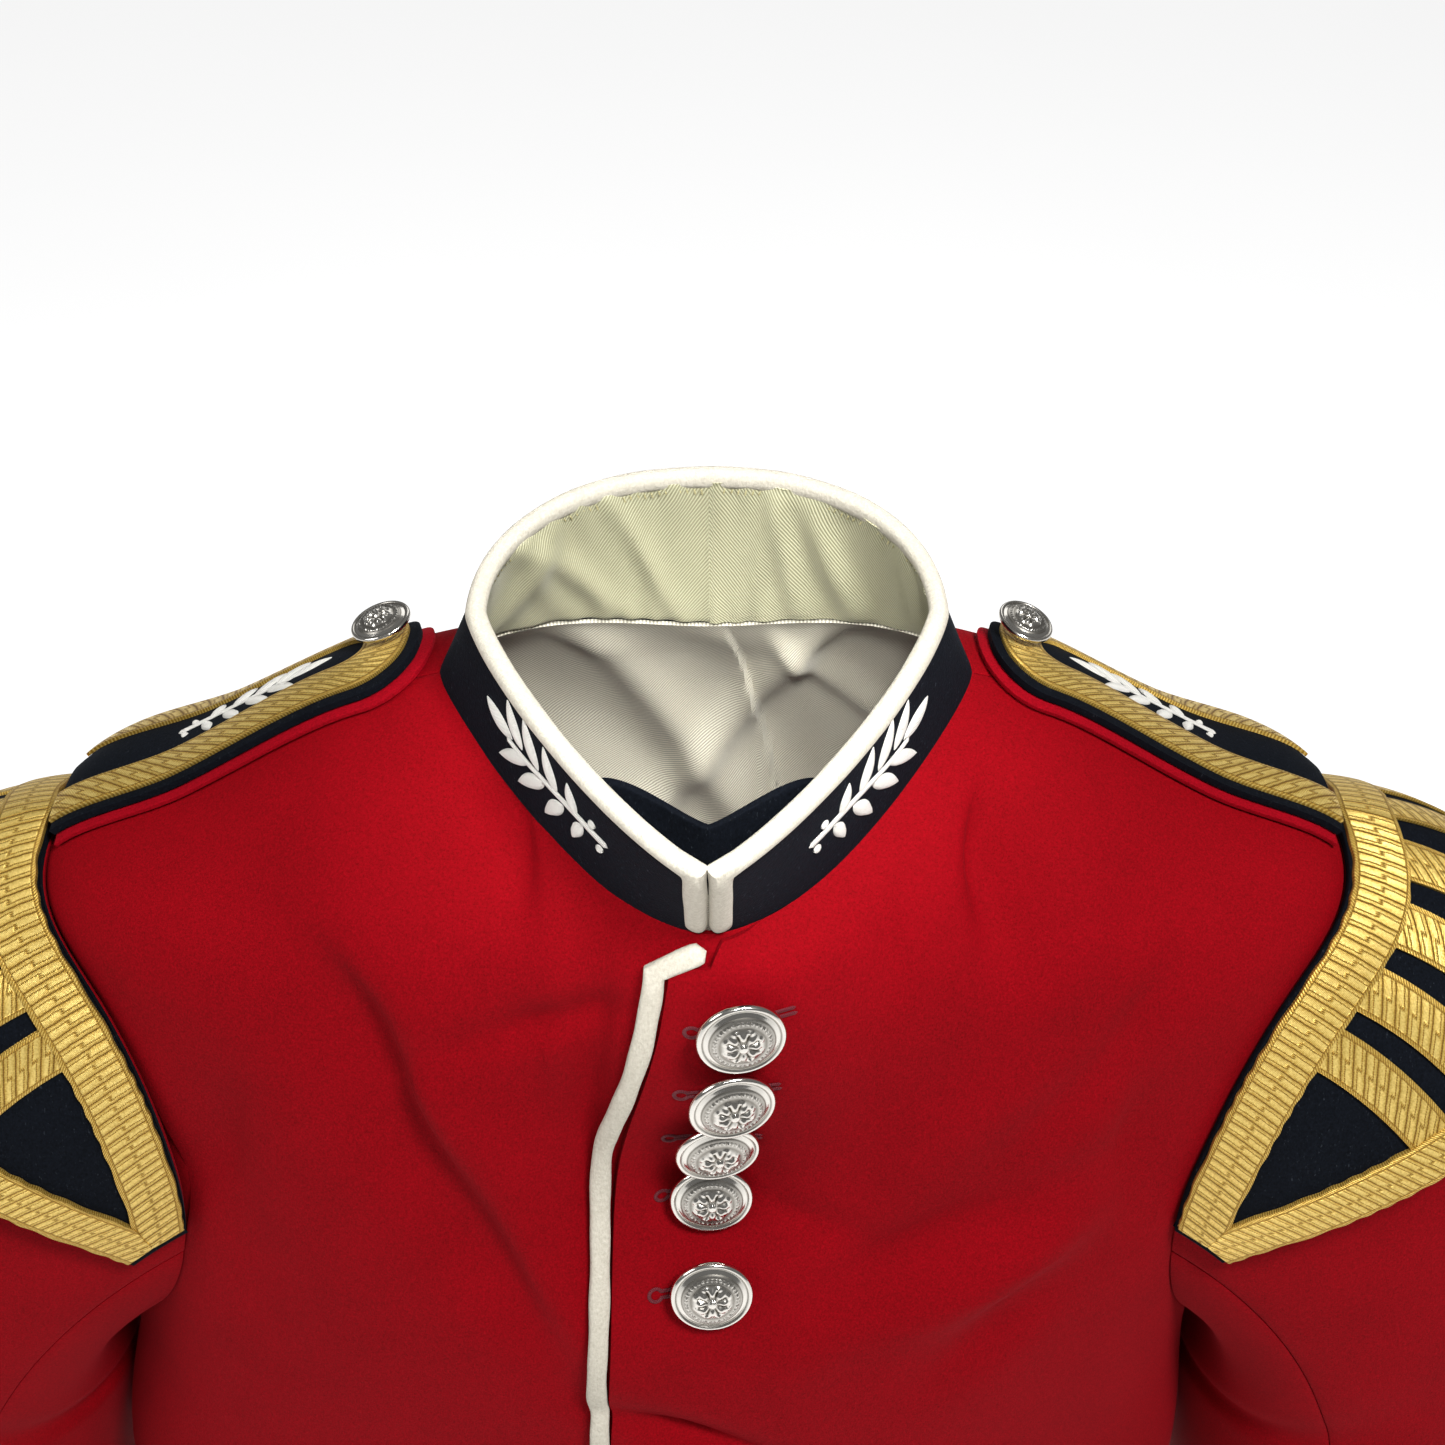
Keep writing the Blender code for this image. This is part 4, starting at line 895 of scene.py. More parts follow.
class Value:
    """A shader socket whose arithmetic adds Math nodes."""

    def __init__(self, tree: bpy.types.NodeTree, socket: bpy.types.NodeSocket) -> None:
        """Wraps a socket of a node tree."""
        self.tree = tree
        self.socket = socket

    def math(self, operation: str, *items: "Value | float") -> "Value":
        """Adds a Math node on the given values."""
        node = self.tree.nodes.new("ShaderNodeMath")
        node.operation = operation
        for slot, item in zip(node.inputs, items):
            if isinstance(item, Value):
                self.tree.links.new(item.socket, slot)
            else:
                slot.default_value = item
        return Value(self.tree, node.outputs[0])

    def __add__(self, other: "Value | float") -> "Value":
        """Sum."""
        return self.math("ADD", self, other)

    __radd__ = __add__

    def __sub__(self, other: "Value | float") -> "Value":
        """Difference."""
        return self.math("SUBTRACT", self, other)

    def __rsub__(self, other: "Value | float") -> "Value":
        """Difference from a number."""
        return self.math("SUBTRACT", other, self)

    def __mul__(self, other: "Value | float") -> "Value":
        """Product."""
        return self.math("MULTIPLY", self, other)

    __rmul__ = __mul__

    def __truediv__(self, other: "Value | float") -> "Value":
        """Quotient."""
        return self.math("DIVIDE", self, other)

    def sine(self) -> "Value":
        """Sine."""
        return self.math("SINE", self)

    def fraction(self) -> "Value":
        """Part after the decimal point."""
        return self.math("FRACT", self)

    def size(self) -> "Value":
        """Absolute value."""
        return self.math("ABSOLUTE", self)

    def above(self, level: float) -> "Value":
        """1 above a level and 0 below it."""
        return self.math("GREATER_THAN", self, level)

    def or_more(self, other: "Value | float") -> "Value":
        """The larger of two values."""
        return self.math("MAXIMUM", self, other)

    def clamped(self) -> "Value":
        """Value kept between 0 and 1."""
        return self.math("MINIMUM", self.math("MAXIMUM", self, 0.0), 1.0)

    def near(self, place: float, reach: float) -> "Value":
        """1 at a place, falling to 0 at a reach from it."""
        return (1.0 - (self - place).size() / reach).clamped()


class Recipe:
    """One material's node tree in the making."""

    def __init__(self, name: str) -> None:
        """Starts a material with its Principled shader."""
        self.material = bpy.data.materials.new(name)
        self.material.use_nodes = True
        self.tree = self.material.node_tree
        self.shader = self.tree.nodes["Principled BSDF"]

    def put(self, socket: bpy.types.NodeSocket, item: object) -> None:
        """Links a value to a socket, or sets a constant on it."""
        if isinstance(item, Value):
            self.tree.links.new(item.socket, socket)
        else:
            socket.default_value = item

    def node(self, kind: str, settings: dict[str, object], sockets: dict, output: str | int = 0) -> Value:
        """Adds a node of a kind, with its settings and its inputs by name or number, and gives one output."""
        made = self.tree.nodes.new(f"ShaderNode{kind}")
        for name, setting in settings.items():
            setattr(made, name, setting)
        for name, item in sockets.items():
            self.put(made.inputs[name], item)
        return Value(self.tree, made.outputs[output])

    def place(self) -> Value:
        """Place on the object, in metres."""
        return self.node("TexCoord", {}, {}, "Object")

    def flat(self) -> tuple[Value, Value]:
        """Place on the flat cloth, across and along, in metres."""
        made = self.node("UVMap", {"uv_map": UV_NAME}, {})
        parts = self.tree.nodes.new("ShaderNodeSeparateXYZ")
        self.tree.links.new(made.socket, parts.inputs[0])
        return Value(self.tree, parts.outputs[0]), Value(self.tree, parts.outputs[1])

    def stretched(self, vector: Value, factors: Colour) -> Value:
        """A vector multiplied part by part."""
        return self.node("VectorMath", {"operation": "MULTIPLY"}, {0: vector, 1: factors})

    def noise(self, vector: Value, scale: float, detail: float = 2.0, roughness: float = 0.5) -> Value:
        """Soft noise from 0 to 1."""
        sockets = {"Vector": vector, "Scale": scale, "Detail": detail, "Roughness": roughness}
        return self.node("TexNoise", {}, sockets, "Fac")

    def spread(self, value: Value, low: float, high: float) -> Value:
        """Value stretched so that low gives 0 and high gives 1."""
        return ((value - low) / (high - low)).clamped()

    def mix(self, factor: Value | float, first: "Value | Colour", second: "Value | Colour") -> Value:
        """Mix of two colours."""
        first = first if isinstance(first, Value) else (*first, 1.0)
        second = second if isinstance(second, Value) else (*second, 1.0)
        return self.node("Mix", {"data_type": "RGBA"}, {0: factor, 6: first, 7: second}, 2)

    def bump(self, height: Value, distance: float, strength: float) -> Value:
        """Normal from a height that is 0 to 1 over a distance in metres."""
        sockets = {"Height": height, "Distance": distance, "Strength": strength}
        return self.node("Bump", {}, sockets, "Normal")

    def wear(self, **sockets: object) -> Material:
        """Puts values on the shader's sockets, whose names have underscores for spaces."""
        for name, item in sockets.items():
            self.put(self.shader.inputs[name.replace("_", " ")], item)
        return self.material


@dataclass(frozen=True)
class Wool:
    """Fulled wool cloth with a short nap."""

    name: str
    deep: Colour
    lit: Colour
    sheen: float
    sheen_tint: Colour
    nap: float = 1500.0
    mottle: float = 38.0
    nap_depth: float = 0.00022
    strength: float = 0.5
    lint: Colour | None = None

    def make(self) -> Material:
        """Builds the material."""
        recipe = Recipe(self.name)
        place = recipe.place()
        nap = recipe.noise(place, self.nap, 3.0, 0.65)
        fibre = recipe.noise(recipe.stretched(place, (1.0, 1.0, 0.3)), 2.2 * self.nap, 2.0, 0.6)
        cloud = recipe.noise(place, self.mottle, 3.0, 0.55)
        height = nap * 0.6 + fibre * 0.4
        tone = recipe.spread(height * 0.88 + cloud * 0.12, 0.34, 0.66)
        colour = recipe.mix(tone, self.deep, self.lit)
        if self.lint:
            loose = recipe.noise(recipe.stretched(place, (1.0, 0.45, 0.35)), 1.1 * self.nap, 4.0, 0.75)
            colour = recipe.mix(recipe.spread(loose, 0.62, 0.76) * 0.7, colour, self.lint)
        return recipe.wear(
            Base_Color=colour,
            Roughness=0.9 - 0.1 * nap,
            Normal=recipe.bump(height, self.nap_depth, self.strength),
            Sheen_Weight=self.sheen,
            Sheen_Roughness=0.4,
            Sheen_Tint=(*self.sheen_tint, 1.0),
            Specular_IOR_Level=0.06,
        )


@dataclass(frozen=True)
class Twill:
    """Smooth lining with fine diagonal lines."""

    name: str
    shade: Colour
    lit: Colour
    lean: float
    pitch: float = 0.00084
    depth: float = 0.00014

    def make(self) -> Material:
        """Builds the material."""
        recipe = Recipe(self.name)
        across, along = recipe.flat()
        turn = math.radians(self.lean)
        slip = recipe.noise(recipe.place(), 120.0, 2.0)
        line = across * (math.cos(turn) / self.pitch) + along * (math.sin(turn) / self.pitch) + slip * 0.5
        rib = (line * (2.0 * math.pi)).sine() * 0.5 + 0.5
        thread = recipe.noise(recipe.place(), 1800.0, 1.0)
        tone = (rib * 0.8 + thread * 0.2).clamped()
        return recipe.wear(
            Base_Color=recipe.mix(tone, self.shade, self.lit),
            Roughness=0.42 + 0.14 * thread,
            Normal=recipe.bump(rib, self.depth, 0.8),
            Sheen_Weight=0.15,
            Sheen_Roughness=0.3,
            Specular_IOR_Level=0.5,
        )


@dataclass(frozen=True)
class MetalLace:
    """Woven gold lace: slanting satin ribs with beaded, stepped grooves between corded edges, with painted
    shade in the grooves and a painted highlight on the rib tops.
    """

    name: str
    width: float
    pitch: float
    slant: float
    shade: Colour = (0.15, 0.07, 0.006)
    lit: Colour = (0.52, 0.31, 0.042)
    # Colour of the painted highlight on the rib tops
    bright: Colour = (0.92, 0.7, 0.22)
    band: float = 0.0013
    bead: float = 0.0006
    thread: float = 0.00044
    groove: float = 0.085
    depth: float = 0.00055

    def make(self) -> Material:
        """Builds the material."""
        recipe = Recipe(self.name)
        across, along = recipe.flat()
        full = 2.0 * math.pi
        wander = recipe.noise(recipe.place(), 300.0, 1.0) * 0.0005
        share = across / self.width
        turn = ((along + across * self.slant + wander) / self.pitch).fraction()
        upper = share.above(0.5)
        beads = (across * (full / self.bead)).sine() * 0.5 + 0.5
        beads_along = (along * (full / self.bead)).sine() * 0.5 + 0.5
        step = (1.0 - (turn - upper * 0.34 - 0.33).size() / self.groove).clamped()
        bound = turn.near(0.0, self.groove).or_more(turn.near(1.0, self.groove))
        link = share.near(0.5, 0.06) * (turn.near(0.5, 0.24) * 5.0).clamped()
        furrow = (step.or_more(bound) * (beads * 0.65 + 0.35)).or_more(link * (beads_along * 0.6 + 0.4))
        edge = self.band / self.width
        inside = ((0.5 - edge - (share - 0.5).size()) * (self.width / 0.00025)).clamped()
        hem = (share - 0.5).size().near(0.5 - edge, 0.00042 / self.width) * (beads_along * 0.6 + 0.4)
        rib = (turn * math.pi).sine()
        satin = (along * (full / self.thread) + across * (0.4 * full / self.thread)).sine() * 0.5 + 0.5
        cord = ((along + across * 0.8) * (full / 0.00095)).sine() * 0.5 + 0.5
        grain = recipe.noise(recipe.place(), 1600.0, 2.0)
        middle = rib * 0.3 + satin * 0.16 - furrow * 0.62 + 0.42
        height = inside * middle + (1.0 - inside) * (cord * 0.28 + 0.4) - hem * 0.35 + grain * 0.12
        # Painted shade: the grooves, the beaded hems and the low weave mix towards the shade colour
        tone = recipe.spread(height, 0.1, 0.8)
        # Painted highlight: the highest weave mixes towards the bright colour
        gleam = recipe.spread(height * 0.8 + grain * 0.35, 0.62, 0.95)
        groove_shaded_gold = recipe.mix(tone, self.shade, self.lit)
        return recipe.wear(
            Base_Color=recipe.mix(gleam, groove_shaded_gold, self.bright),
            Metallic=0.65,
            Roughness=0.5 - 0.14 * gleam,
            Normal=recipe.bump(height.clamped(), self.depth, 1.0),
            Specular_IOR_Level=0.5,
        )


@dataclass(frozen=True)
class Thread:
    """Stitching: rounded threads side by side across the stroke."""

    name: str
    shade: Colour
    lit: Colour
    pitch: float = 0.00042
    depth: float = 0.00022
    sheen: float = 0.2

    def make(self) -> Material:
        """Builds the material."""
        recipe = Recipe(self.name)
        across, along = recipe.flat()
        waver = recipe.noise(recipe.place(), 900.0, 2.0)
        line = along * (math.pi / self.pitch) + across * (0.35 * math.pi / self.pitch) + waver * 0.9
        round_thread = line.sine().size()
        tone = (round_thread * 0.75 + waver * 0.25).clamped()
        return recipe.wear(
            Base_Color=recipe.mix(tone, self.shade, self.lit),
            Roughness=0.62 + 0.12 * waver,
            Normal=recipe.bump(round_thread, self.depth, 0.9),
            Sheen_Weight=self.sheen,
            Sheen_Roughness=0.4,
        )


@dataclass(frozen=True)
class Stamped:
    """Bright stamped metal, with painted shade in its hollows, which are also rougher."""

    name: str
    deep: Colour
    bright: Colour

    def make(self) -> Material:
        """Builds the material."""
        recipe = Recipe(self.name)
        hollow = recipe.node("Attribute", {"attribute_name": "hollow"}, {}, "Fac")
        haze = recipe.noise(recipe.place(), 420.0, 3.0)
        fine = recipe.noise(recipe.place(), 2600.0, 2.0)
        return recipe.wear(
            # Painted shade: the hollows mix towards the deep colour
            Base_Color=recipe.mix((hollow * 0.85 + haze * 0.15).clamped(), self.bright, self.deep),
            Metallic=1.0,
            Roughness=0.1 + 0.1 * haze + 0.22 * hollow,
            Normal=recipe.bump(fine, 0.00002, 0.3),
        )


@dataclass(frozen=True)
class Paper:
    """Plain pale studio floor."""

    name: str
    shade: Colour
    lit: Colour

    def make(self) -> Material:
        """Builds the material."""
        recipe = Recipe(self.name)
        return recipe.wear(
            Base_Color=recipe.mix(recipe.noise(recipe.place(), 3.0, 2.0), self.shade, self.lit),
            Roughness=0.95,
            Specular_IOR_Level=0.1,
            Emission_Color=(1.0, 1.0, 1.0, 1.0),
            Emission_Strength=0.78,
        )


@dataclass
class Finishes:
    """Every finish of the tunic, made once."""

    scarlet: Material
    red_edge: Material
    navy: Material
    white: Material
    cream: Material
    grey: Material
    inner_lace: Material
    border_lace: Material
    bar_lace: Material
    strap_lace: Material
    white_thread: Material
    red_thread: Material
    yellow_thread: Material
    silver: Material


def make_finishes() -> Finishes:
    """Makes every finish."""
    return Finishes(
        scarlet=Wool(
            "scarlet_wool", (0.12, 0.0002, 0.0016), (0.27, 0.0004, 0.0046), 0.06, (1.0, 0.02, 0.05)
        ).make(),
        red_edge=Wool(
            "red_edge_wool", (0.15, 0.0004, 0.003), (0.34, 0.0012, 0.009), 0.12, (1.0, 0.04, 0.08)
        ).make(),
        navy=Wool(
            "navy_wool", (0.001, 0.0015, 0.0026), (0.0042, 0.0058, 0.0095), 0.016, (0.35, 0.45, 0.6),
            nap=1100.0, mottle=60.0, nap_depth=0.0003, strength=0.7, lint=(0.055, 0.065, 0.08),
        ).make(),
        white=Wool(
            "white_wool", (0.44, 0.405, 0.33), (0.6, 0.565, 0.48), 0.08, (1.0, 0.97, 0.9),
            nap=900.0, mottle=60.0, nap_depth=0.0006, strength=0.8,
        ).make(),
        cream=Twill("collar_lining_twill", (0.22, 0.21, 0.115), (0.6, 0.585, 0.4), -32.0).make(),
        grey=Twill("body_lining_twill", (0.3, 0.275, 0.205), (0.86, 0.82, 0.67), -42.0).make(),
        inner_lace=MetalLace("inner_gold_lace", 0.0165, 0.0038, 0.12).make(),
        border_lace=MetalLace("border_gold_lace", 0.0135, 0.0044, 0.6).make(),
        bar_lace=MetalLace("bar_gold_lace", 0.0142, 0.0044, 0.62).make(),
        strap_lace=MetalLace("strap_gold_lace", 0.012, 0.0045, 0.85, band=0.001, groove=0.1).make(),
        white_thread=Thread("white_embroidery", (0.48, 0.46, 0.41), (0.88, 0.86, 0.8)).make(),
        red_thread=Thread(
            "red_buttonhole_thread", (0.045, 0.0003, 0.003), (0.15, 0.003, 0.012), pitch=0.0005, sheen=0.0
        ).make(),
        yellow_thread=Thread("yellow_whipping", (0.36, 0.31, 0.12), (0.7, 0.64, 0.34)).make(),
        # The darker silver is the painted shade of the buttons' hollows
        silver=Stamped("silver_button", (0.16, 0.145, 0.12), (0.78, 0.75, 0.69)).make(),
    )


# Sub-assemblies


@dataclass
class Panels:
    """Fronts, backs, their lining and the piping of the front edge."""

    body: BodyShape
    sleeve: SleeveShape
    finishes: Finishes
    columns: int = 80
    rows: int = 142
    rim: float = 0.0004
    under_edge_x: float = 0.018
    seam_roll: float = 0.0004
    seam_reach: float = 0.0014
    armhole_lap: float = 0.0013
    body_radius: float = 0.15
    piping_width: float = 0.0061
    piping_thick: float = 0.004
    piping_corner_row: float = 0.8
    piping_top_row: float = 0.3
    piping_top_x: float = -0.0004
    lining_rows: int = 15
    lining_cloth: float = 0.0012
    pleat_lift: float = 0.0034
    pleat_x: float = 0.0035
    pleat_slope: float = 0.03

    def seam_turn(self, row: Array, angle: float = 0.0) -> Array:
        """Angle that stands for half a seam gap at each row."""
        spot = self.body.form(np.full_like(row, angle), row)
        return SEAM / np.hypot(spot[..., 0], spot[..., 1] - self.body.middle_y)

    def tucked(self, row: Array, front: bool) -> Array:
        """Angle of the armhole's edge, lapped a little over the sleeve's start."""
        angle = self.sleeve.armhole_angle(row, front)
        lap = self.armhole_lap * smooth(np.abs(angle) / 0.05) - SEAM
        return angle + (1.0 if front else -1.0) * lap / SEAM * self.seam_turn(row)

    def panel(
        self, name: str, edges: Edges, rolled: tuple[bool, bool], laps: bool = False
    ) -> tuple[Piece, Object]:
        """Builds one panel between two angles that change with the row.

        Args:
            name: Name of the solid that it stands for.
            edges: Gives both edges' angles for section rows.
            rolled: Whether each edge rolls down into a seam.
            laps: Whether it is the left front, which laps over the right one.

        Returns:
            The piece and its object.
        """

        def layers(u: Array, v: Array) -> Pair:
            row = spaced(v, PANEL_ROWS)
            start, end = edges(row)
            share = 0.5 - 0.5 * np.cos(math.pi * u)
            angle = start + (end - start) * share
            lift = np.zeros_like(row)
            if laps:
                row = self.body.lap_row(angle, row)
                lift = self.body.lap_out(self.body.form(angle, row)[..., 0], row)
            spots, normals = self.body.form(angle, row), self.body.normal(angle, row)
            width = np.abs(end - start) * self.body_radius
            for from_edge, rolls in ((share, rolled[0]), (1.0 - share, rolled[1])):
                if rolls:
                    lift = lift - self.seam_roll * np.exp(-from_edge * width / self.seam_reach)
            return spots + normals * lift[:, None], spots + normals * (lift - CLOTH)[:, None]

        piece = Piece(f"{name}_cloth")
        piece.add_wall(layers, self.columns, self.rows, self.rim)
        return piece, piece.finish(self.finishes.scarlet, "scarlet_wool", [name])

    def build(self) -> tuple[Piece, Object]:
        """Builds the panels and the lining.

        Returns:
            The left front and its object, which the buttons are sewn to.
        """
        turn = self.seam_turn
        left, left_made = self.panel(
            "front_left",
            lambda row: (self.body.angle_at_x(self.body.lap_edge_x(row), row), self.tucked(row, True)),
            (False, True), laps=True,
        )
        others = (
            ("front_right", lambda row: (
                self.body.angle_at_x(np.full_like(row, self.under_edge_x), row),
                -math.pi - self.tucked(row, True),
            ), (False, True)),
            ("back_left", lambda row: (self.tucked(row, False), QUARTER - turn(row, QUARTER)), (True, True)),
            ("back_right", lambda row: (
                QUARTER + turn(row, QUARTER), math.pi - self.tucked(row, False),
            ), (True, True)),
        )
        for name, edges, rolled in others:
            piece, made = self.panel(name, edges, rolled)
            piece.declare(made, Held.HUNG)
        self.build_lining()
        return left, left_made

    def pleat(self, x: Array, row: Array) -> Array:
        """Inward rise of the lining's pleat: a soft slope to a folded edge, then a sharp drop."""
        edge = self.pleat_x + self.pleat_slope * row / 5.0
        away = x - edge
        rise = np.exp(np.minimum(away, 0.0) / 0.012) * smooth(-away / 0.0012 + 0.5)
        return self.pleat_lift * rise * smooth(row / 0.5) * (0.5 + 0.5 * smooth((row - 0.3) / 1.5))

    def build_lining(self) -> None:
        """Builds the back lining with its pleat down the middle."""
        rows = PANEL_ROWS[: self.lining_rows]

        def layers(u: Array, v: Array) -> Pair:
            row = spaced(v, rows)
            start = self.sleeve.armhole_angle(row, False) + self.seam_turn(row)
            share = 1.0 - np.abs(2.0 * u - 1.0)
            half = start + (QUARTER - start) * share
            angle = np.where(u <= 0.5, half, math.pi - half)
            spots, normals = self.body.form(angle, row), self.body.normal(angle, row)
            x, z = spots[..., 0], spots[..., 2]
            sag = 0.0013 * (1.0 + np.sin(x * 95.0 + z * 60.0 + 1.2 * np.sin(x * 41.0)))
            drape = 0.004 * bell((x + 0.04 + 0.45 * z) / 0.009)
            drape = drape + 0.0046 * bell((x - 0.036 - 0.5 * z) / 0.0075)
            pull = 0.0036 * bell((x - 0.02 + 0.8 * z + 0.01) / 0.0065)
            drape = drape + pull * smooth((x - 0.012) / 0.01)
            depth = CLOTH + GAP + self.pleat(x, row) + (sag + drape) * smooth(row / 0.8)
            return spots - normals * depth[:, None], spots - normals * (depth + self.lining_cloth)[:, None]

        piece = Piece("back_lining_twill")
        piece.add_wall(layers, 180, 70)
        made = piece.finish(self.finishes.grey, "body_lining", ["back_lining"])
        piece.declare(made, Held.LAID, ("back_left_cloth", "back_right_cloth"))

    def build_piping(self) -> Object:
        """Builds the white piping along the left front's short top edge and down its long edge."""
        half = 0.5 * self.piping_width
        rows = np.linspace(self.piping_corner_row, self.body.hem_row - 0.01, 230)
        x = self.body.lap_edge_x(rows) - 2.0 * GAP - half
        top_x = np.linspace(self.piping_top_x, x[0], 10)[:-3]
        top_rows = np.linspace(self.piping_top_row, rows[0], 10)[:-3]
        x = np.concatenate((top_x, x[:1], x[2:]))
        rows = np.concatenate((top_rows, rows[:1], rows[2:]))
        angle = self.body.angle_at_x(x, rows)
        middle = self.body.at(angle, rows, self.body.lap_lift - 0.5 * CLOTH + 0.0004)
        along = running_length(middle)
        wobble = 1.0 + 0.035 * np.sin(along * 310.0) + 0.03 * np.sin(along * 173.0 + 1.0)
        piece = Piece("front_edge_piping")
        out = self.body.normal(angle, rows)
        piece.add_sweep(middle, out, half * wobble, 0.5 * self.piping_thick, 20, 2.8)
        return piece.finish(self.finishes.white, "white_wool", ["front_piping_edge"])


@dataclass
class Sleeves:
    """Top and under sleeves of both sides."""

    shape: SleeveShape
    finishes: Finishes
    top_reach: float = 5.0 * math.pi / 8.0
    start: float = 0.0006
    rows: int = 120
    seam_roll: float = 0.0007
    seam_reach: float = 0.0016
    arm_radius: float = 0.06
    turning_width: float = 0.009
    turning_depth: float = 0.0011

    def build_turning(self, side: Side) -> Object:
        """Builds the turned-in cloth under an armhole's seam on one side."""
        turns = np.linspace(-math.pi + 0.02, math.pi - 0.02, 200)
        angle, row = self.shape.armhole_place(turns)
        normal = self.shape.body.normal(angle, row)
        middle = self.shape.armhole(turns) - normal * (CLOTH + self.turning_depth)
        piece = Piece(f"armhole_turning_{side.word}", side)
        piece.add_sweep(middle, normal, 0.5 * self.turning_width, 0.4 * self.turning_depth, 8)
        return piece.finish(self.finishes.scarlet, "scarlet_wool", [])

    def layers(self, start: float, end: float) -> Layers:
        """Outer and inner face of the sleeve between two turns, rolled down along the seams."""

        def faces(u: Array, v: Array) -> Pair:
            share = 0.5 - 0.5 * np.cos(math.pi * u)
            turn = start + (end - start) * share
            cap_end = self.shape.ring(turn, np.zeros_like(turn))
            span = np.linalg.norm(cap_end - self.shape.armhole(turn), axis=-1)
            length = np.maximum(spaced(v, SLEEVE_LENGTHS), self.start / span)
            width = abs(end - start) * self.arm_radius
            roll = np.exp(-share * width / self.seam_reach)
            roll = roll + np.exp(-(1.0 - share) * width / self.seam_reach)
            sunk = -self.seam_roll * (roll + 0.2 * np.exp(-length * span / self.seam_reach))
            away = np.where(share < 0.5, 1.0, -1.0) * math.copysign(1.0, end - start)
            turn = turn + away * SEAM / self.arm_radius * (np.abs(2.0 * share - 1.0) > 0.999)
            outer = self.shape.at(turn, length, sunk, True)
            return outer, self.shape.at(turn, length, sunk - CLOTH, True)

        return faces

    def build(self) -> None:
        """Builds the four sleeve pieces."""
        parts = (
            ("top", self.top_reach, -self.top_reach, 72),
            ("under", -self.top_reach, self.top_reach - math.tau, 48),
        )
        for side in Side:
            turning = self.build_turning(side)
            rests_on = (f"front_{side.word}_cloth", f"back_{side.word}_cloth")
            for part, start, end, columns in parts:
                node = f"sleeve_{part}_{side.word}"
                piece = Piece(f"{node}_cloth", side)
                piece.add_wall(self.layers(start, end), columns, self.rows, 0.0006)
                made = piece.finish(self.finishes.scarlet, "scarlet_wool", [node])
                piece.declare(made, Held.HUNG, rests_on, (turning,) if part == "top" else ())


@dataclass(frozen=True)
class Leaf:
    """One embroidered leaf of the sprig, on the flat."""

    along: float
    across: float
    turn: float
    length: float
    width: float


SPRIG = (
    Leaf(0.015, 0.0, 3.0, 0.0125, 0.0042),
    Leaf(0.011, 0.001, 36.0, 0.0125, 0.004),
    Leaf(0.0085, -0.001, -34.0, 0.0125, 0.004),
    Leaf(0.0045, 0.001, 44.0, 0.013, 0.0042),
    Leaf(0.002, -0.001, -42.0, 0.013, 0.0042),
    Leaf(-0.0025, 0.001, 52.0, 0.0118, 0.004),
    Leaf(-0.005, -0.001, -52.0, 0.0118, 0.004),
    Leaf(-0.0095, 0.0008, 62.0, 0.0092, 0.0034),
    Leaf(-0.0115, -0.0008, -62.0, 0.0092, 0.0034),
)
BERRIES = ((0.015, 0.0052), (0.013, -0.0052), (-0.015, 0.0038), (-0.0172, -0.0036))


@dataclass
class Sprig:
    """Generic leafy sprig in white stitching, laid on a collar or strap."""

    patch: Callable[[Array, Array, Array], Array]
    size: float = 1.0
    squeeze: float = 1.0
    height: float = 0.0011

    def add(self, piece: Piece) -> None:
        """Adds the sprig's leaves, berries and stem to a piece."""
        for leaf in SPRIG:
            self.add_leaf(piece, leaf)
        for along, across in BERRIES:
            self.add_leaf(piece, Leaf(along - 0.0012, across, 0.0, 0.0024, 0.0026), 6, 6)
        share = np.linspace(0.0, 1.0, 40)
        along = (-0.02 + 0.037 * share) * self.size
        across = 0.0012 * np.sin(share * 5.0) * self.size * self.squeeze
        middle = self.patch(along, across, np.full_like(share, 0.0002))
        out = unit(self.patch(along, across, np.full_like(share, 0.0012)) - middle)
        piece.add_sweep(middle, out, (0.0012 - 0.0006 * share) * self.size, 0.0005, 8)

    def add_leaf(self, piece: Piece, leaf: Leaf, columns: int = 8, rows: int = 14) -> None:
        """Adds one domed leaf.

        Args:
            piece: The piece in the making.
            leaf: The leaf's place and size.
            columns: Grid columns.
            rows: Grid rows.
        """
        turn = math.radians(leaf.turn)

        def layers(u: Array, v: Array) -> Pair:
            wide = np.sin(math.pi * v**0.85) ** 0.8 * leaf.width * (u - 0.5)
            bend = 0.12 * leaf.length * v**2 * math.copysign(1.0, leaf.turn)
            along = leaf.along + v * leaf.length * math.cos(turn) - (wide + bend) * math.sin(turn)
            across = leaf.across + v * leaf.length * math.sin(turn) + (wide + bend) * math.cos(turn)
            ends = np.sin(math.pi * np.clip(v, 0.02, 0.98)) ** 0.5
            dome = np.sqrt(np.maximum(0.0, 1.0 - (2.0 * u - 1.0) ** 2)) * ends
            along, across = along * self.size, across * self.size * self.squeeze
            under = np.full_like(u, -0.0002)
            return self.patch(along, across, self.height * dome), self.patch(along, across, under)

        piece.add_wall(layers, columns, rows)


# Puckers of the collar's lining: height, place from the front end, lean and half-width
PUCKERS = (
    (0.0026, 0.15, 1.0, 0.0046),
    (0.0022, 0.116, -1.0, 0.0052),
    (0.0022, 0.168, 0.6, 0.0036),
    (0.0018, 0.134, 0.3, 0.004),
    (0.0016, 0.184, -0.2, 0.0034),
)


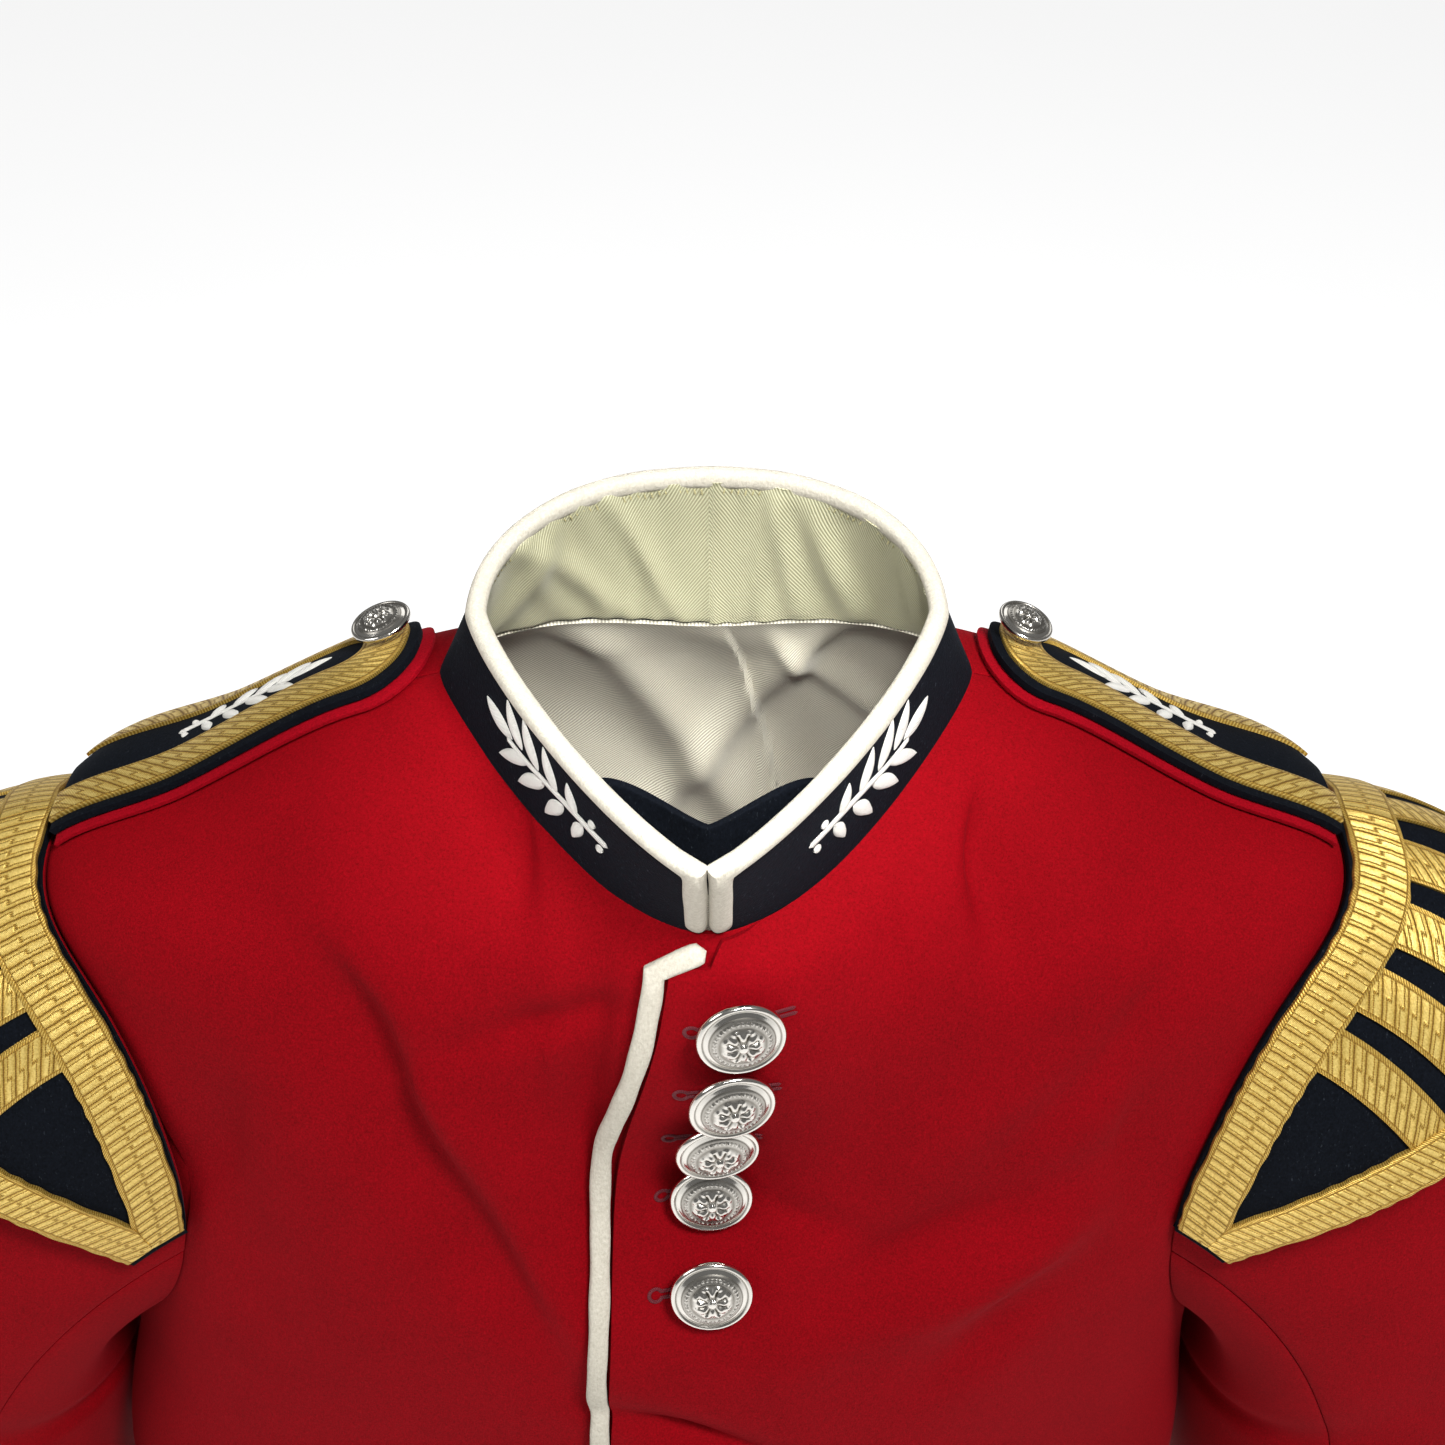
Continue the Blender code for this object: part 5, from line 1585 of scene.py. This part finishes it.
@dataclass
class Collar:
    """Stand collar with its lining, piping, under-tab and sprigs."""

    shape: CollarShape
    finishes: Finishes
    cloth: float = 0.0018
    lining_cloth: float = 0.0012
    piping_width: float = 0.0062
    piping_thick: float = 0.0054
    start: float = 0.02
    tab_reach: float = math.radians(34.0)
    tab_bulge: float = 0.026
    tab_top: float = 0.7
    sprig_from_front: float = 0.054
    sprig_size: float = 1.18
    whip_step: float = 0.0021
    seam_depth: float = 0.0016
    half_length: float = 0.19
    shift: float = 0.008
    lean: float = 0.022

    @property
    def thick(self) -> float:
        """Thickness of cloth and lining together."""
        return self.cloth + GAP + self.lining_cloth

    def leaf(self, share: Array, height: Array, depth: Number, low: float = GAP) -> Array:
        """Points on a layer of the wearer's left half, from the front end to the back."""
        start = -QUARTER + self.start
        angle = start + (QUARTER - start) * share**1.25
        span = self.shape.span(angle)
        rise = low / span + (1.0 - (0.5 * self.piping_width + low) / span) * height
        spots = self.shape.at(angle, rise, -np.asarray(depth, float))
        spots[..., 0] = np.where(share <= 0.0, 0.5 * self.piping_width, spots[..., 0])
        return spots

    def build(self) -> None:
        """Builds every piece of the collar."""

        def cloth(u: Array, v: Array) -> Pair:
            share = 1.0 - np.abs(2.0 * u - 1.0)
            sign = np.where(u > 0.5, -1.0, 1.0)
            made = []
            for depth in (0.0, self.cloth):
                spots = self.leaf(share, v, depth, -self.seam_depth)
                spots[..., 0] = np.where(share >= 1.0, 0.0, spots[..., 0] * sign)
                made.append(spots)
            return made[0], made[1]

        piping = self.build_piping()
        whipping = self.build_whipping()
        sprigs = self.build_sprigs()
        piece = Piece("collar_cloth")
        piece.add_wall(cloth, 240, 26, 0.0005)
        made = piece.finish(self.finishes.navy, "navy_wool", ["collar"])
        piece.declare(made, Held.HUNG, ("front_left_cloth", "front_right_cloth"), (piping, whipping, sprigs))
        for side in Side:
            self.build_lining(side)
        self.build_tab()

    def build_lining(self, side: Side) -> None:
        """Builds one half of the lining, puckered along its edges.

        Args:
            side: The wearer's side.
        """

        def layers(u: Array, v: Array) -> Pair:
            spots = self.leaf(u, v, 0.0)
            along = u * self.half_length + self.shift * side.value
            pucker = 0.0006 * (bell((1.0 - v) / 0.26) + 0.8 * bell(v / 0.2))
            wave = np.sin(along * 620.0 + 2.0 * np.sin(along * 90.0 + side.value))
            wave = wave + 0.6 * np.sin(along * 260.0)
            soft = np.zeros_like(along)
            for height, place, slant, reach in PUCKERS:
                lean = slant * (self.lean * side.value)
                soft = soft + height * bell((along - place - lean * v) / reach)
            depth = self.cloth + GAP + pucker * (1.0 + wave * 0.7) + soft * np.sin(math.pi * v) ** 0.7
            outer = self.leaf(u, v, depth)
            inner = self.leaf(u, v, depth + self.lining_cloth)
            for points in (outer, inner):
                points[..., 0] = np.where(u >= 1.0, SEAM, points[..., 0])
            return outer, inner

        name = f"collar_lining_{side.word}"
        piece = Piece(f"{name}_twill", side)
        piece.add_wall(layers, 200, 26, 0.0003)
        made = piece.finish(self.finishes.cream, "collar_lining", [name])
        piece.declare(made, Held.LAID, ("collar_cloth",))

    def build_piping(self) -> Object:
        """Builds the piping up both front ends and along the top edge.

        Returns:
            The piping.
        """
        half = 0.5 * self.piping_width
        x_end = half + SEAM
        angles = np.linspace(-QUARTER + 0.004, QUARTER, 700)
        top = self.shape.at(angles, 1.0 - half / self.shape.span(angles), -0.5 * self.thick)
        first = int(np.argmax(top[:, 0] >= x_end))
        rises = np.linspace(0.02, 1.0 - half / float(self.shape.span(angles[first : first + 1])[0]), 16)
        fine = np.linspace(-QUARTER, -QUARTER + 0.4, 120)
        front = []
        for rise in rises:
            line = self.shape.at(fine, np.full_like(fine, rise), -0.5 * self.thick)
            front.append([np.interp(x_end, line[:, 0], line[:, axis]) for axis in range(3)])
        front = np.array(front)
        corner = front[-1]
        upright = front[np.linalg.norm(front - corner, axis=-1) > 0.6 * self.piping_width]
        edge = top[first::4]
        edge = edge[np.linalg.norm(edge - corner, axis=-1) > 0.6 * self.piping_width]
        left = np.concatenate((upright, corner[None], edge))
        edge_angle = angles[first::4][-len(edge) :]
        left_angle = np.concatenate((np.full(len(upright) + 1, angles[first]), edge_angle))
        normal = self.shape.normal(left_angle)
        mirror = np.array((-1.0, 1.0, 1.0))
        line = np.concatenate((left[:-1], left[::-1] * mirror))
        out = np.concatenate((normal[:-1], normal[::-1] * mirror))
        along = running_length(line)
        wobble = 1.0 + 0.025 * np.sin(along * 290.0) + 0.025 * np.sin(along * 140.0)
        piece = Piece("collar_piping_felt")
        piece.add_sweep(line, out, half * wobble, 0.5 * self.piping_thick, 20, 2.4)
        return piece.finish(self.finishes.white, "white_wool", ["collar_piping_left", "collar_piping_right"])

    def build_whipping(self) -> Object:
        """Builds the whip stitches that hold the lining to the piping."""
        fine = np.linspace(-QUARTER + 0.1, QUARTER, 900)
        edge = self.shape.at(fine, 1.0, -self.thick)
        lengths = running_length(edge)
        angles = np.interp(np.arange(0.004, lengths[-1] - 0.002, self.whip_step), lengths, fine)
        piece = Piece("collar_whipping")
        for side in Side:
            piece.side = side
            for number, angle in enumerate(angles):
                share = np.linspace(0.0, 1.0, 4)
                turn = angle + 0.01 * share + 0.002 * math.sin(number * 2.3)
                down = self.piping_width * (0.82 + (0.42 + 0.06 * math.sin(number * 1.7)) * share)
                rise = 1.0 - down / self.shape.span(turn)
                depth = self.thick + 0.001 - 0.0005 * share
                middle = self.shape.at(turn, rise, -depth)
                piece.add_sweep(middle, -self.shape.normal(turn), 0.00026, 0.00022, 5)
        return piece.finish(self.finishes.yellow_thread, "collar_lining", [])

    def build_tab(self) -> None:
        """Builds the tab behind the collar's opening."""

        def layers(u: Array, v: Array) -> Pair:
            share = np.abs(2.0 * u - 1.0)
            angle = -QUARTER + share * self.tab_reach
            crown = self.tab_top - 0.1 * (1.0 - share)
            spots = self.shape.form(angle, 0.03 + (crown - 0.03) * v)
            near = -QUARTER + np.maximum(share, 0.2) * self.tab_reach
            normal = facing(self.shape.form, near, np.full_like(near, 0.5), COLLAR_STEP)
            bow = self.tab_bulge * (1.0 - share**2.2) * (0.45 + 0.55 * v)
            made = []
            for depth in (0.0, self.cloth):
                shift = (self.thick + 2.0 * GAP + depth) * share
                points = spots - normal * shift[:, None]
                points[..., 1] += bow + (self.thick + depth) * (1.0 - share)
                points[..., 0] = np.where(u > 0.5, points[..., 0], -points[..., 0])
                points[..., 0] = np.where(np.abs(u - 0.5) < 1e-6, 0.0, points[..., 0])
                made.append(points)
            return made[0], made[1]

        piece = Piece("collar_tab_cloth")
        piece.add_wall(layers, 80, 20, 0.0005)
        made = piece.finish(self.finishes.navy, "navy_wool", ["collar_tab"])
        piece.declare(made, Held.DRAPED, ("collar_lining_left_twill", "collar_lining_right_twill"))

    def build_sprigs(self) -> Object:
        """Builds both sprigs of the collar."""
        angles = np.linspace(-QUARTER + self.start, QUARTER, 400)
        lengths = running_length(self.shape.form(angles, np.full_like(angles, 0.5)))

        def patch(along: Array, across: Array, out: Array) -> Array:
            angle = np.interp(self.sprig_from_front + along, lengths, angles)
            rise = 0.5 + across / self.shape.span(angle)
            return self.shape.at(angle, rise, out)

        piece = Piece("collar_sprigs")
        for side in Side:
            piece.side = side
            Sprig(patch, self.sprig_size).add(piece)
        return piece.finish(self.finishes.white_thread, "white_wool", [])


@dataclass
class Straps:
    """Shoulder straps with red edge, gold lace and sprigs."""

    shape: StrapShape
    finishes: Finishes
    stand: float = 0.001
    edge_cloth: float = 0.0012
    layer: float = 0.0006
    cloth: float = 0.0022
    edge: float = 0.003
    margin: float = 0.0028
    lace_width: float = 0.012
    lace_length: float = 0.24
    sprig_x: float = 0.133

    @property
    def top(self) -> float:
        """Height of the navy cloth's face over the shoulder."""
        return self.stand + self.edge_cloth + self.layer + self.cloth

    def slab(self, name: str, side: Side, inset: float, low: float, high: float) -> Piece:
        """Makes a slab with the strap's plan, inset from its edge, between two heights."""

        def layers(u: Array, v: Array) -> Pair:
            x = self.shape.x_at(v, inset)
            half = np.maximum(self.shape.half(x, inset), self.shape.least_half)
            across = np.sign(u - 0.5) * (1.0 - (1.0 - np.abs(2.0 * u - 1.0)) ** 1.25)
            return tuple(self.shape.at(x, self.shape.y + across * half, high, low))

        piece = Piece(name, side)
        piece.add_wall(layers, 36, 90, 0.0005)
        return piece

    def build(self) -> None:
        """Builds both straps."""
        high = self.stand + self.edge_cloth
        low = high + self.layer
        for side in Side:
            edge = self.slab(f"strap_edge_{side.word}_cloth", side, 0.0, self.stand, high)
            edge_made = edge.finish(self.finishes.red_edge, "scarlet_wool", [f"strap_edge_{side.word}"])
            edge.declare(edge_made, Held.LAID, (f"front_{side.word}_cloth", f"back_{side.word}_cloth"))
            lace = self.build_lace(side)
            sprig = self.build_sprig(side)
            navy = self.slab(f"strap_{side.word}_cloth", side, self.edge, low, self.top)
            navy_made = navy.finish(self.finishes.navy, "navy_wool", [f"strap_{side.word}"])
            navy.declare(navy_made, Held.LAID, (f"strap_edge_{side.word}_cloth",), (lace, sprig))

    def build_lace(self, side: Side) -> Object:
        """Builds one strap's lace, along both edges and round the neck end."""
        outside = self.edge + self.margin

        def layers(u: Array, v: Array) -> Pair:
            inset = outside + self.lace_width * u
            x = self.shape.x_at(np.abs(2.0 * v - 1.0), inset)
            across = np.where(v < 0.5, -1.0, 1.0) * (np.abs(v - 0.5) > 1e-6)
            y = self.shape.y + across * self.shape.half(x, inset)
            high = self.top + 0.0002 + LACE + crown(u)
            return tuple(self.shape.at(x, y, high, np.full_like(x, self.top + 0.0001)))

        piece = Piece(f"strap_lace_{side.word}_gold", side)
        sizes = np.array((self.lace_width, self.lace_length))
        piece.add_wall(layers, 12, 280, 0.0003, flat=lambda u, v: np.stack((u, v), axis=-1) * sizes)
        return piece.finish(self.finishes.strap_lace, "gold_lace", [f"strap_lace_{side.word}"])

    def build_sprig(self, side: Side) -> Object:
        """Builds one strap's sprig."""

        def patch(along: Array, across: Array, out: Array) -> Array:
            return self.shape.at(self.sprig_x - along, self.shape.y + across, self.top + out)[0]

        piece = Piece(f"strap_sprig_{side.word}", side)
        Sprig(patch, 1.0, 0.72).add(piece)
        return piece.finish(self.finishes.white_thread, "white_wool", [])


@dataclass
class Wings:
    """Crescent wings with their laces and bars."""

    shape: WingShape
    finishes: Finishes
    cloth: float = 0.0024
    lace_lift: float = 0.0007
    tip_share: float = 0.012
    bars: int = 8
    bar_step: float = 0.0635
    bar_width: float = 0.0142
    tuck: float = 0.0012

    def build(self) -> None:
        """Builds both wings."""
        for side in Side:
            bars = self.build_bars(side)
            lace = self.build_lace(side)

            def layers(u: Array, v: Array) -> Pair:
                reach = self.shape.start + (self.shape.depth(v) - self.shape.start) * u
                return self.shape.at(v, reach, 0.0), self.shape.at(v, reach, -self.cloth)

            piece = Piece(f"wing_{side.word}_cloth", side)
            piece.add_wall(layers, 28, 170, 0.0007)
            made = piece.finish(self.finishes.navy, "navy_wool", [f"wing_{side.word}"])
            piece.declare(made, Held.LAID, (f"sleeve_top_{side.word}_cloth",), (bars, *lace))

    def build_lace(self, side: Side) -> list[Object]:
        """Builds the inner lace and the border lace, mitred at the tips.

        Args:
            side: The wearer's side.

        Returns:
            Both laces.
        """
        made = []
        kinds = (
            ("lace", 0, 1, False, self.finishes.inner_lace, [f"wing_lace_{side.word}"]),
            ("border", 2, 3, True, self.finishes.border_lace, []),
        )
        for name, first, second, flip, finish, nodes in kinds:
            piece = Piece(f"wing_{name}_{side.word}_gold", side)

            def reaches(u: Array, v: Array, first: int = first, second: int = second) -> Pair:
                share = self.tip_share + (1.0 - 2.0 * self.tip_share) * v
                edges = self.shape.lace_reaches(share)
                waver = 0.00022 * np.sin(share * 190.0 + 3.0 * np.sin(share * 31.0))
                reach = edges[first] + (edges[second] - edges[first]) * u
                return share, reach + waver * (edges[1] - edges[0] > 0.012)

            def layers(u: Array, v: Array, reaches: Callable = reaches) -> Pair:
                share, reach = reaches(u, v)
                high = self.lace_lift + LACE + crown(u)
                return self.shape.at(share, reach, high), self.shape.at(share, reach, 0.0001)

            def flat(u: Array, v: Array, reaches: Callable = reaches, flip: bool = flip) -> Array:
                share, reach = reaches(u, v)
                edges = self.shape.lace_reaches(share)
                across = edges[3] - reach if flip else reach - edges[0]
                scale = 1.32 if flip else 1.05
                return np.stack((across, share * self.shape.seam * scale), axis=-1)

            piece.add_wall(layers, 14, 300, 0.0003, flat=flat)
            made.append(piece.finish(finish, "gold_lace", nodes))
        return made

    def build_bars(self, side: Side) -> Object:
        """Builds the bars of lace across the wing.

        Args:
            side: The wearer's side.

        Returns:
            All the bars.
        """
        piece = Piece(f"wing_bars_{side.word}_gold", side)
        names = []
        for number in range(self.bars):
            names.append(f"wing_bar_{side.word}_{number + 1:02d}")
            middle = 0.5 + self.bar_step * (number - 0.5 * (self.bars - 1))

            def spot(u: Array, v: Array, middle: float = middle) -> Pair:
                share = np.full_like(u, middle)
                _, first, last, _ = self.shape.lace_reaches(share)
                reach = first + (last - first) * v
                width = np.linalg.norm(
                    self.shape.at(share + BODY_STEP, reach) - self.shape.at(share - BODY_STEP, reach), axis=-1
                ) / (2.0 * BODY_STEP)
                place = share + (u - 0.5) * self.bar_width / width
                _, start, end, _ = self.shape.lace_reaches(place)
                return place, start - self.tuck + (end - start + 2.0 * self.tuck) * v

            def layers(u: Array, v: Array, spot: Callable = spot) -> Pair:
                place, reach = spot(u, v)
                high = 0.9 * LACE + crown(u)
                return self.shape.at(place, reach, high), self.shape.at(place, reach, 0.0001)

            def flat(u: Array, v: Array, spot: Callable = spot) -> Array:
                return np.stack((u * self.bar_width, spot(u, v)[1]), axis=-1)

            piece.add_wall(layers, 12, 48, 0.0003, flat=flat)
        return piece.finish(self.finishes.bar_lace, "gold_lace", names)


@dataclass(frozen=True)
class ButtonPlace:
    """Place of a front button, its sideways tilt, and its buttonhole's lean in degrees and reaches."""

    x: float
    z: float
    tilt: float
    lean: float
    eye_reach: float
    end_reach: float


BUTTON_PLACES = (
    ButtonPlace(0.008, -0.0565, 0.17, 15.0, 0.013, 0.016),
    ButtonPlace(0.0058, -0.083, 0.26, 9.0, 0.0138, 0.0145),
    ButtonPlace(0.002, -0.1085, 0.22, 4.0, 0.014, 0.0138),
    ButtonPlace(0.0003, -0.1375, 0.09, 2.0, 0.0155, 0.012),
    ButtonPlace(0.0003, -0.1665, 0.08, 6.0, 0.017, 0.011),
    ButtonPlace(0.0, -0.251, 0.05, 0.0, 0.015, 0.013),
    ButtonPlace(0.0, -0.278, 0.1, 0.0, 0.015, 0.013),
    ButtonPlace(0.0, -0.305, -0.06, 0.0, 0.015, 0.013),
    ButtonPlace(0.0, -0.332, 0.04, 0.0, 0.015, 0.013),
    ButtonPlace(0.0, -0.359, 0.02, 0.0, 0.015, 0.013),
)


# Turned profile of a button: share of the way, and radius and height as shares of its radius
BUTTON_PROFILE = (
    (0.0, 0.0, 0.52), (0.18, 0.25, 0.505), (0.36, 0.5, 0.445), (0.52, 0.7, 0.365),
    (0.6, 0.8, 0.312), (0.64, 0.845, 0.285), (0.665, 0.865, 0.29), (0.69, 0.885, 0.318),
    (0.72, 0.93, 0.322), (0.75, 0.97, 0.3), (0.775, 0.996, 0.25), (0.795, 0.996, 0.19),
    (0.82, 0.96, 0.135), (0.88, 0.5, 0.075), (0.92, 0.2, 0.06), (0.94, 0.16, 0.02),
    (0.96, 0.16, -0.08), (0.985, 0.16, -0.18), (1.0, 0.0, -0.18),
)


@dataclass
class Buttons:
    """Stamped buttons of the front and straps, and the front's worked buttonholes."""

    body: BodyShape
    straps: Straps
    finishes: Finishes
    radius: float = 0.0125
    stand: float = 0.003
    play: float = 1.5
    strap_radius: float = 0.0088
    strap_x: float = 0.0905
    strap_y: float = 0.036
    strap_lean: float = 0.28
    strap_rise: float = 0.0026
    sides: int = 96
    rings: int = 46
    petals: int = 8
    beads: int = 36
    stamped_share: float = 0.62

    def profile(self, share: Array) -> Pair:
        """Radius and height shares along the turned profile, from the front's middle to the shank's end."""
        stops = np.array(BUTTON_PROFILE)
        return np.interp(share, stops[:, 0], stops[:, 1]), np.interp(share, stops[:, 0], stops[:, 2])

    def relief(self, radius: Array, turn: Array) -> Array:
        """Stamped ornament: a rosette in a ring of beads, as a share of the button's radius."""
        petal = np.abs(np.cos(0.5 * self.petals * turn)) ** 1.6
        outer = petal * bell((radius - 0.3) / 0.12) * 0.075
        tips = np.abs(np.sin(0.5 * self.petals * turn)) ** 4 * bell((radius - 0.43) / 0.05) * 0.065
        vein = -0.026 * bell(np.sin(0.5 * self.petals * turn - QUARTER) / 0.16) * bell((radius - 0.3) / 0.1)
        boss = 0.08 * smooth((0.13 - radius) / 0.05)
        ring = smooth((0.04 - np.abs(radius - 0.62)) / 0.03)
        bead = (0.5 + 0.5 * np.cos(self.beads * turn)) * ring * 0.06
        ropes = 0.028 * (bell((radius - 0.555) / 0.014) + bell((radius - 0.69) / 0.014))
        return outer + tips + vein + boss + bead + ropes

    def add_button(self, piece: Piece, middle: Array, out: Array, radius: float) -> None:
        """Adds one turned and stamped button, from the middle of its back and the way it faces."""
        _, turn, share = piece.add_grid(self.sides, self.rings)
        turn = 2.0 * math.pi * turn
        around, height = self.profile(share)
        stamped = np.where(share < self.stamped_share, self.relief(around, turn), 0.0)
        local = np.stack((around * np.cos(turn), around * np.sin(turn), height + stamped), axis=-1) * radius
        spin = np.array(Vector(out).to_track_quat("Z", "Y").to_matrix())
        points = piece.placed(middle + local @ spin.T)
        hollow = piece.work.verts.layers.float.get("hollow") or piece.work.verts.layers.float.new("hollow")
        verts = list(piece.work.verts)[-len(points) :]
        # Painted shade in the hollows: the flat ground round the stamped relief, and the groove by the rim
        shaded_flats = np.clip(1.0 - stamped / 0.03, 0.0, 1.0) * (around < 0.74)
        low = np.where(share < self.stamped_share, shaded_flats, 0.0)
        low = np.maximum(low, bell((around - 0.862) / 0.018) * (share < 0.7))
        for vert, point, shade in zip(verts, points.tolist(), low.tolist()):
            vert.co = point
            vert[hollow] = shade
        bmesh.ops.remove_doubles(piece.work, verts=verts, dist=MERGE)

    def build(self) -> list[Object]:
        """Builds the buttons and buttonholes.

        Returns:
            The front's buttons and buttonholes.
        """
        made = []
        for number, place in enumerate(BUTTON_PLACES, start=1):
            spot, normal = self.body.front_at(np.array([place.x]), np.array([place.z]), self.stand)
            out = unit(normal[0] + np.array((2.0 * place.tilt, -self.play, 0.0)))
            piece = Piece(f"button_{number:02d}_silver")
            self.add_button(piece, spot[0], out, self.radius)
            made.append(piece.finish(self.finishes.silver, "silver_button", [f"button_{number:02d}"], 60.0))
        made.append(self.build_holes())
        shape = self.straps.shape
        for side in Side:
            x, y = np.array([self.strap_x]), np.array([self.strap_y])
            height = self.straps.top + self.straps.layer + LACE + GAP
            spot, above = shape.at(x, y, height, height + 0.001)
            out = unit(unit(above - spot)[0] + np.array((0.0, -self.strap_lean, 0.0)))
            piece = Piece(f"strap_button_{side.word}_silver", side)
            self.add_button(piece, spot[0] + np.array((0.0, 0.0, self.strap_rise)), out, self.strap_radius)
            piece.finish(self.finishes.silver, "silver_button", [f"strap_button_{side.word}"], 60.0)
        return made

    def build_holes(self) -> Object:
        """Builds the red stitching round every buttonhole."""
        piece = Piece("buttonhole_stitching")
        lip, eye = 0.001, 0.002
        for place in BUTTON_PLACES:
            turn = np.linspace(0.5, 2.0 * math.pi - 0.5, 26)
            straight = np.linspace(place.end_reach, -place.eye_reach + 1.8 * eye, 34)
            along = np.concatenate((straight, -place.eye_reach + eye * np.cos(turn), straight[::-1]))
            across = np.concatenate((np.full(34, lip), eye * np.sin(turn), np.full(34, -lip)))
            lean = math.radians(place.lean)
            x = place.x + along * math.cos(lean) - across * math.sin(lean)
            z = place.z + (along * math.sin(lean) + across * math.cos(lean)) * 0.9
            middle, out = self.body.front_at(x, z, 0.0001)
            piece.add_sweep(middle, out, 0.00058, 0.0004, 8, 2.0)
        return piece.finish(self.finishes.red_thread, "scarlet_wool", [])


@dataclass
class Studio:
    """Camera at the photograph's place, soft lights and a pale floor."""

    camera_place: Colour = (0.0037, -0.4801, 0.3616)
    camera_tilt: float = 53.0
    lens: float = 53.99
    floor_z: float = -0.742
    floor_size: float = 12.0
    cone: float = math.radians(16.0)

    def build(self) -> None:
        """Builds the studio."""
        scene = bpy.context.scene
        data = bpy.data.cameras.new("camera")
        data.lens = self.lens
        data.sensor_width = 36.0
        data.clip_start = 0.01
        camera = linked("camera", data)
        camera.location = self.camera_place
        camera.rotation_euler = (math.radians(self.camera_tilt), 0.0, 0.0)
        scene.camera = camera
        scene.view_settings.view_transform = "Standard"
        lights = (
            ("key", "AREA", (0.45, -0.7, 1.15), 0.35, 30.0, (0.0, 0.0, -0.15)),
            ("side", "AREA", (-1.2, -0.55, 0.85), 0.7, 9.0, (0.0, 0.0, -0.15)),
            ("neck", "SPOT", (0.02, -0.44, 0.44), 0.05, 24.0, (0.0, 0.07, -0.06)),
            ("rim", "AREA", (0.2, 1.5, 1.0), 1.0, 4.0, (0.0, 0.0, -0.15)),
        )
        for name, kind, place, size, power, aim in lights:
            light = bpy.data.lights.new(name, kind)
            light.energy = power
            if kind == "AREA":
                light.size = size
            else:
                light.shadow_soft_size = size
                light.spot_size = self.cone
                light.spot_blend = 0.6
            lamp = linked(name, light)
            lamp.location = place
            lamp.rotation_euler = (Vector(aim) - Vector(place)).to_track_quat("-Z", "Y").to_euler()
        world = bpy.data.worlds.new("studio")
        world.use_nodes = True
        background = world.node_tree.nodes["Background"]
        background.inputs["Color"].default_value = (1.0, 1.0, 1.0, 1.0)
        background.inputs["Strength"].default_value = 0.16
        scene.world = world
        self.build_floor()

    def build_floor(self) -> None:
        """Builds the floor."""
        work = bmesh.new()
        bmesh.ops.create_grid(work, x_segments=4, y_segments=4, size=0.5 * self.floor_size)
        bmesh.ops.translate(work, vec=(0.0, 0.0, self.floor_z), verts=work.verts)
        mesh = bpy.data.meshes.new("floor")
        work.to_mesh(mesh)
        work.free()
        mesh.materials.append(Paper("pale_floor", (0.54, 0.54, 0.54), (0.57, 0.57, 0.57)).make())
        linked("floor", mesh)


def main() -> None:
    """Builds the tunic's looks over the frame."""
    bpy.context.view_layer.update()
    Studio().build()
    finishes = make_finishes()
    body = BodyShape()
    sleeve = SleeveShape(body)
    panels = Panels(body, sleeve, finishes)
    left, left_made = panels.build()
    piping = panels.build_piping()
    Sleeves(sleeve, finishes).build()
    Collar(CollarShape(body), finishes).build()
    straps = Straps(StrapShape(body), finishes)
    straps.build()
    Wings(WingShape(sleeve), finishes).build()
    trimmings = Buttons(body, straps, finishes).build()
    left.declare(left_made, Held.HUNG, (), (piping, *trimmings))


if __name__ == "__main__":
    main()
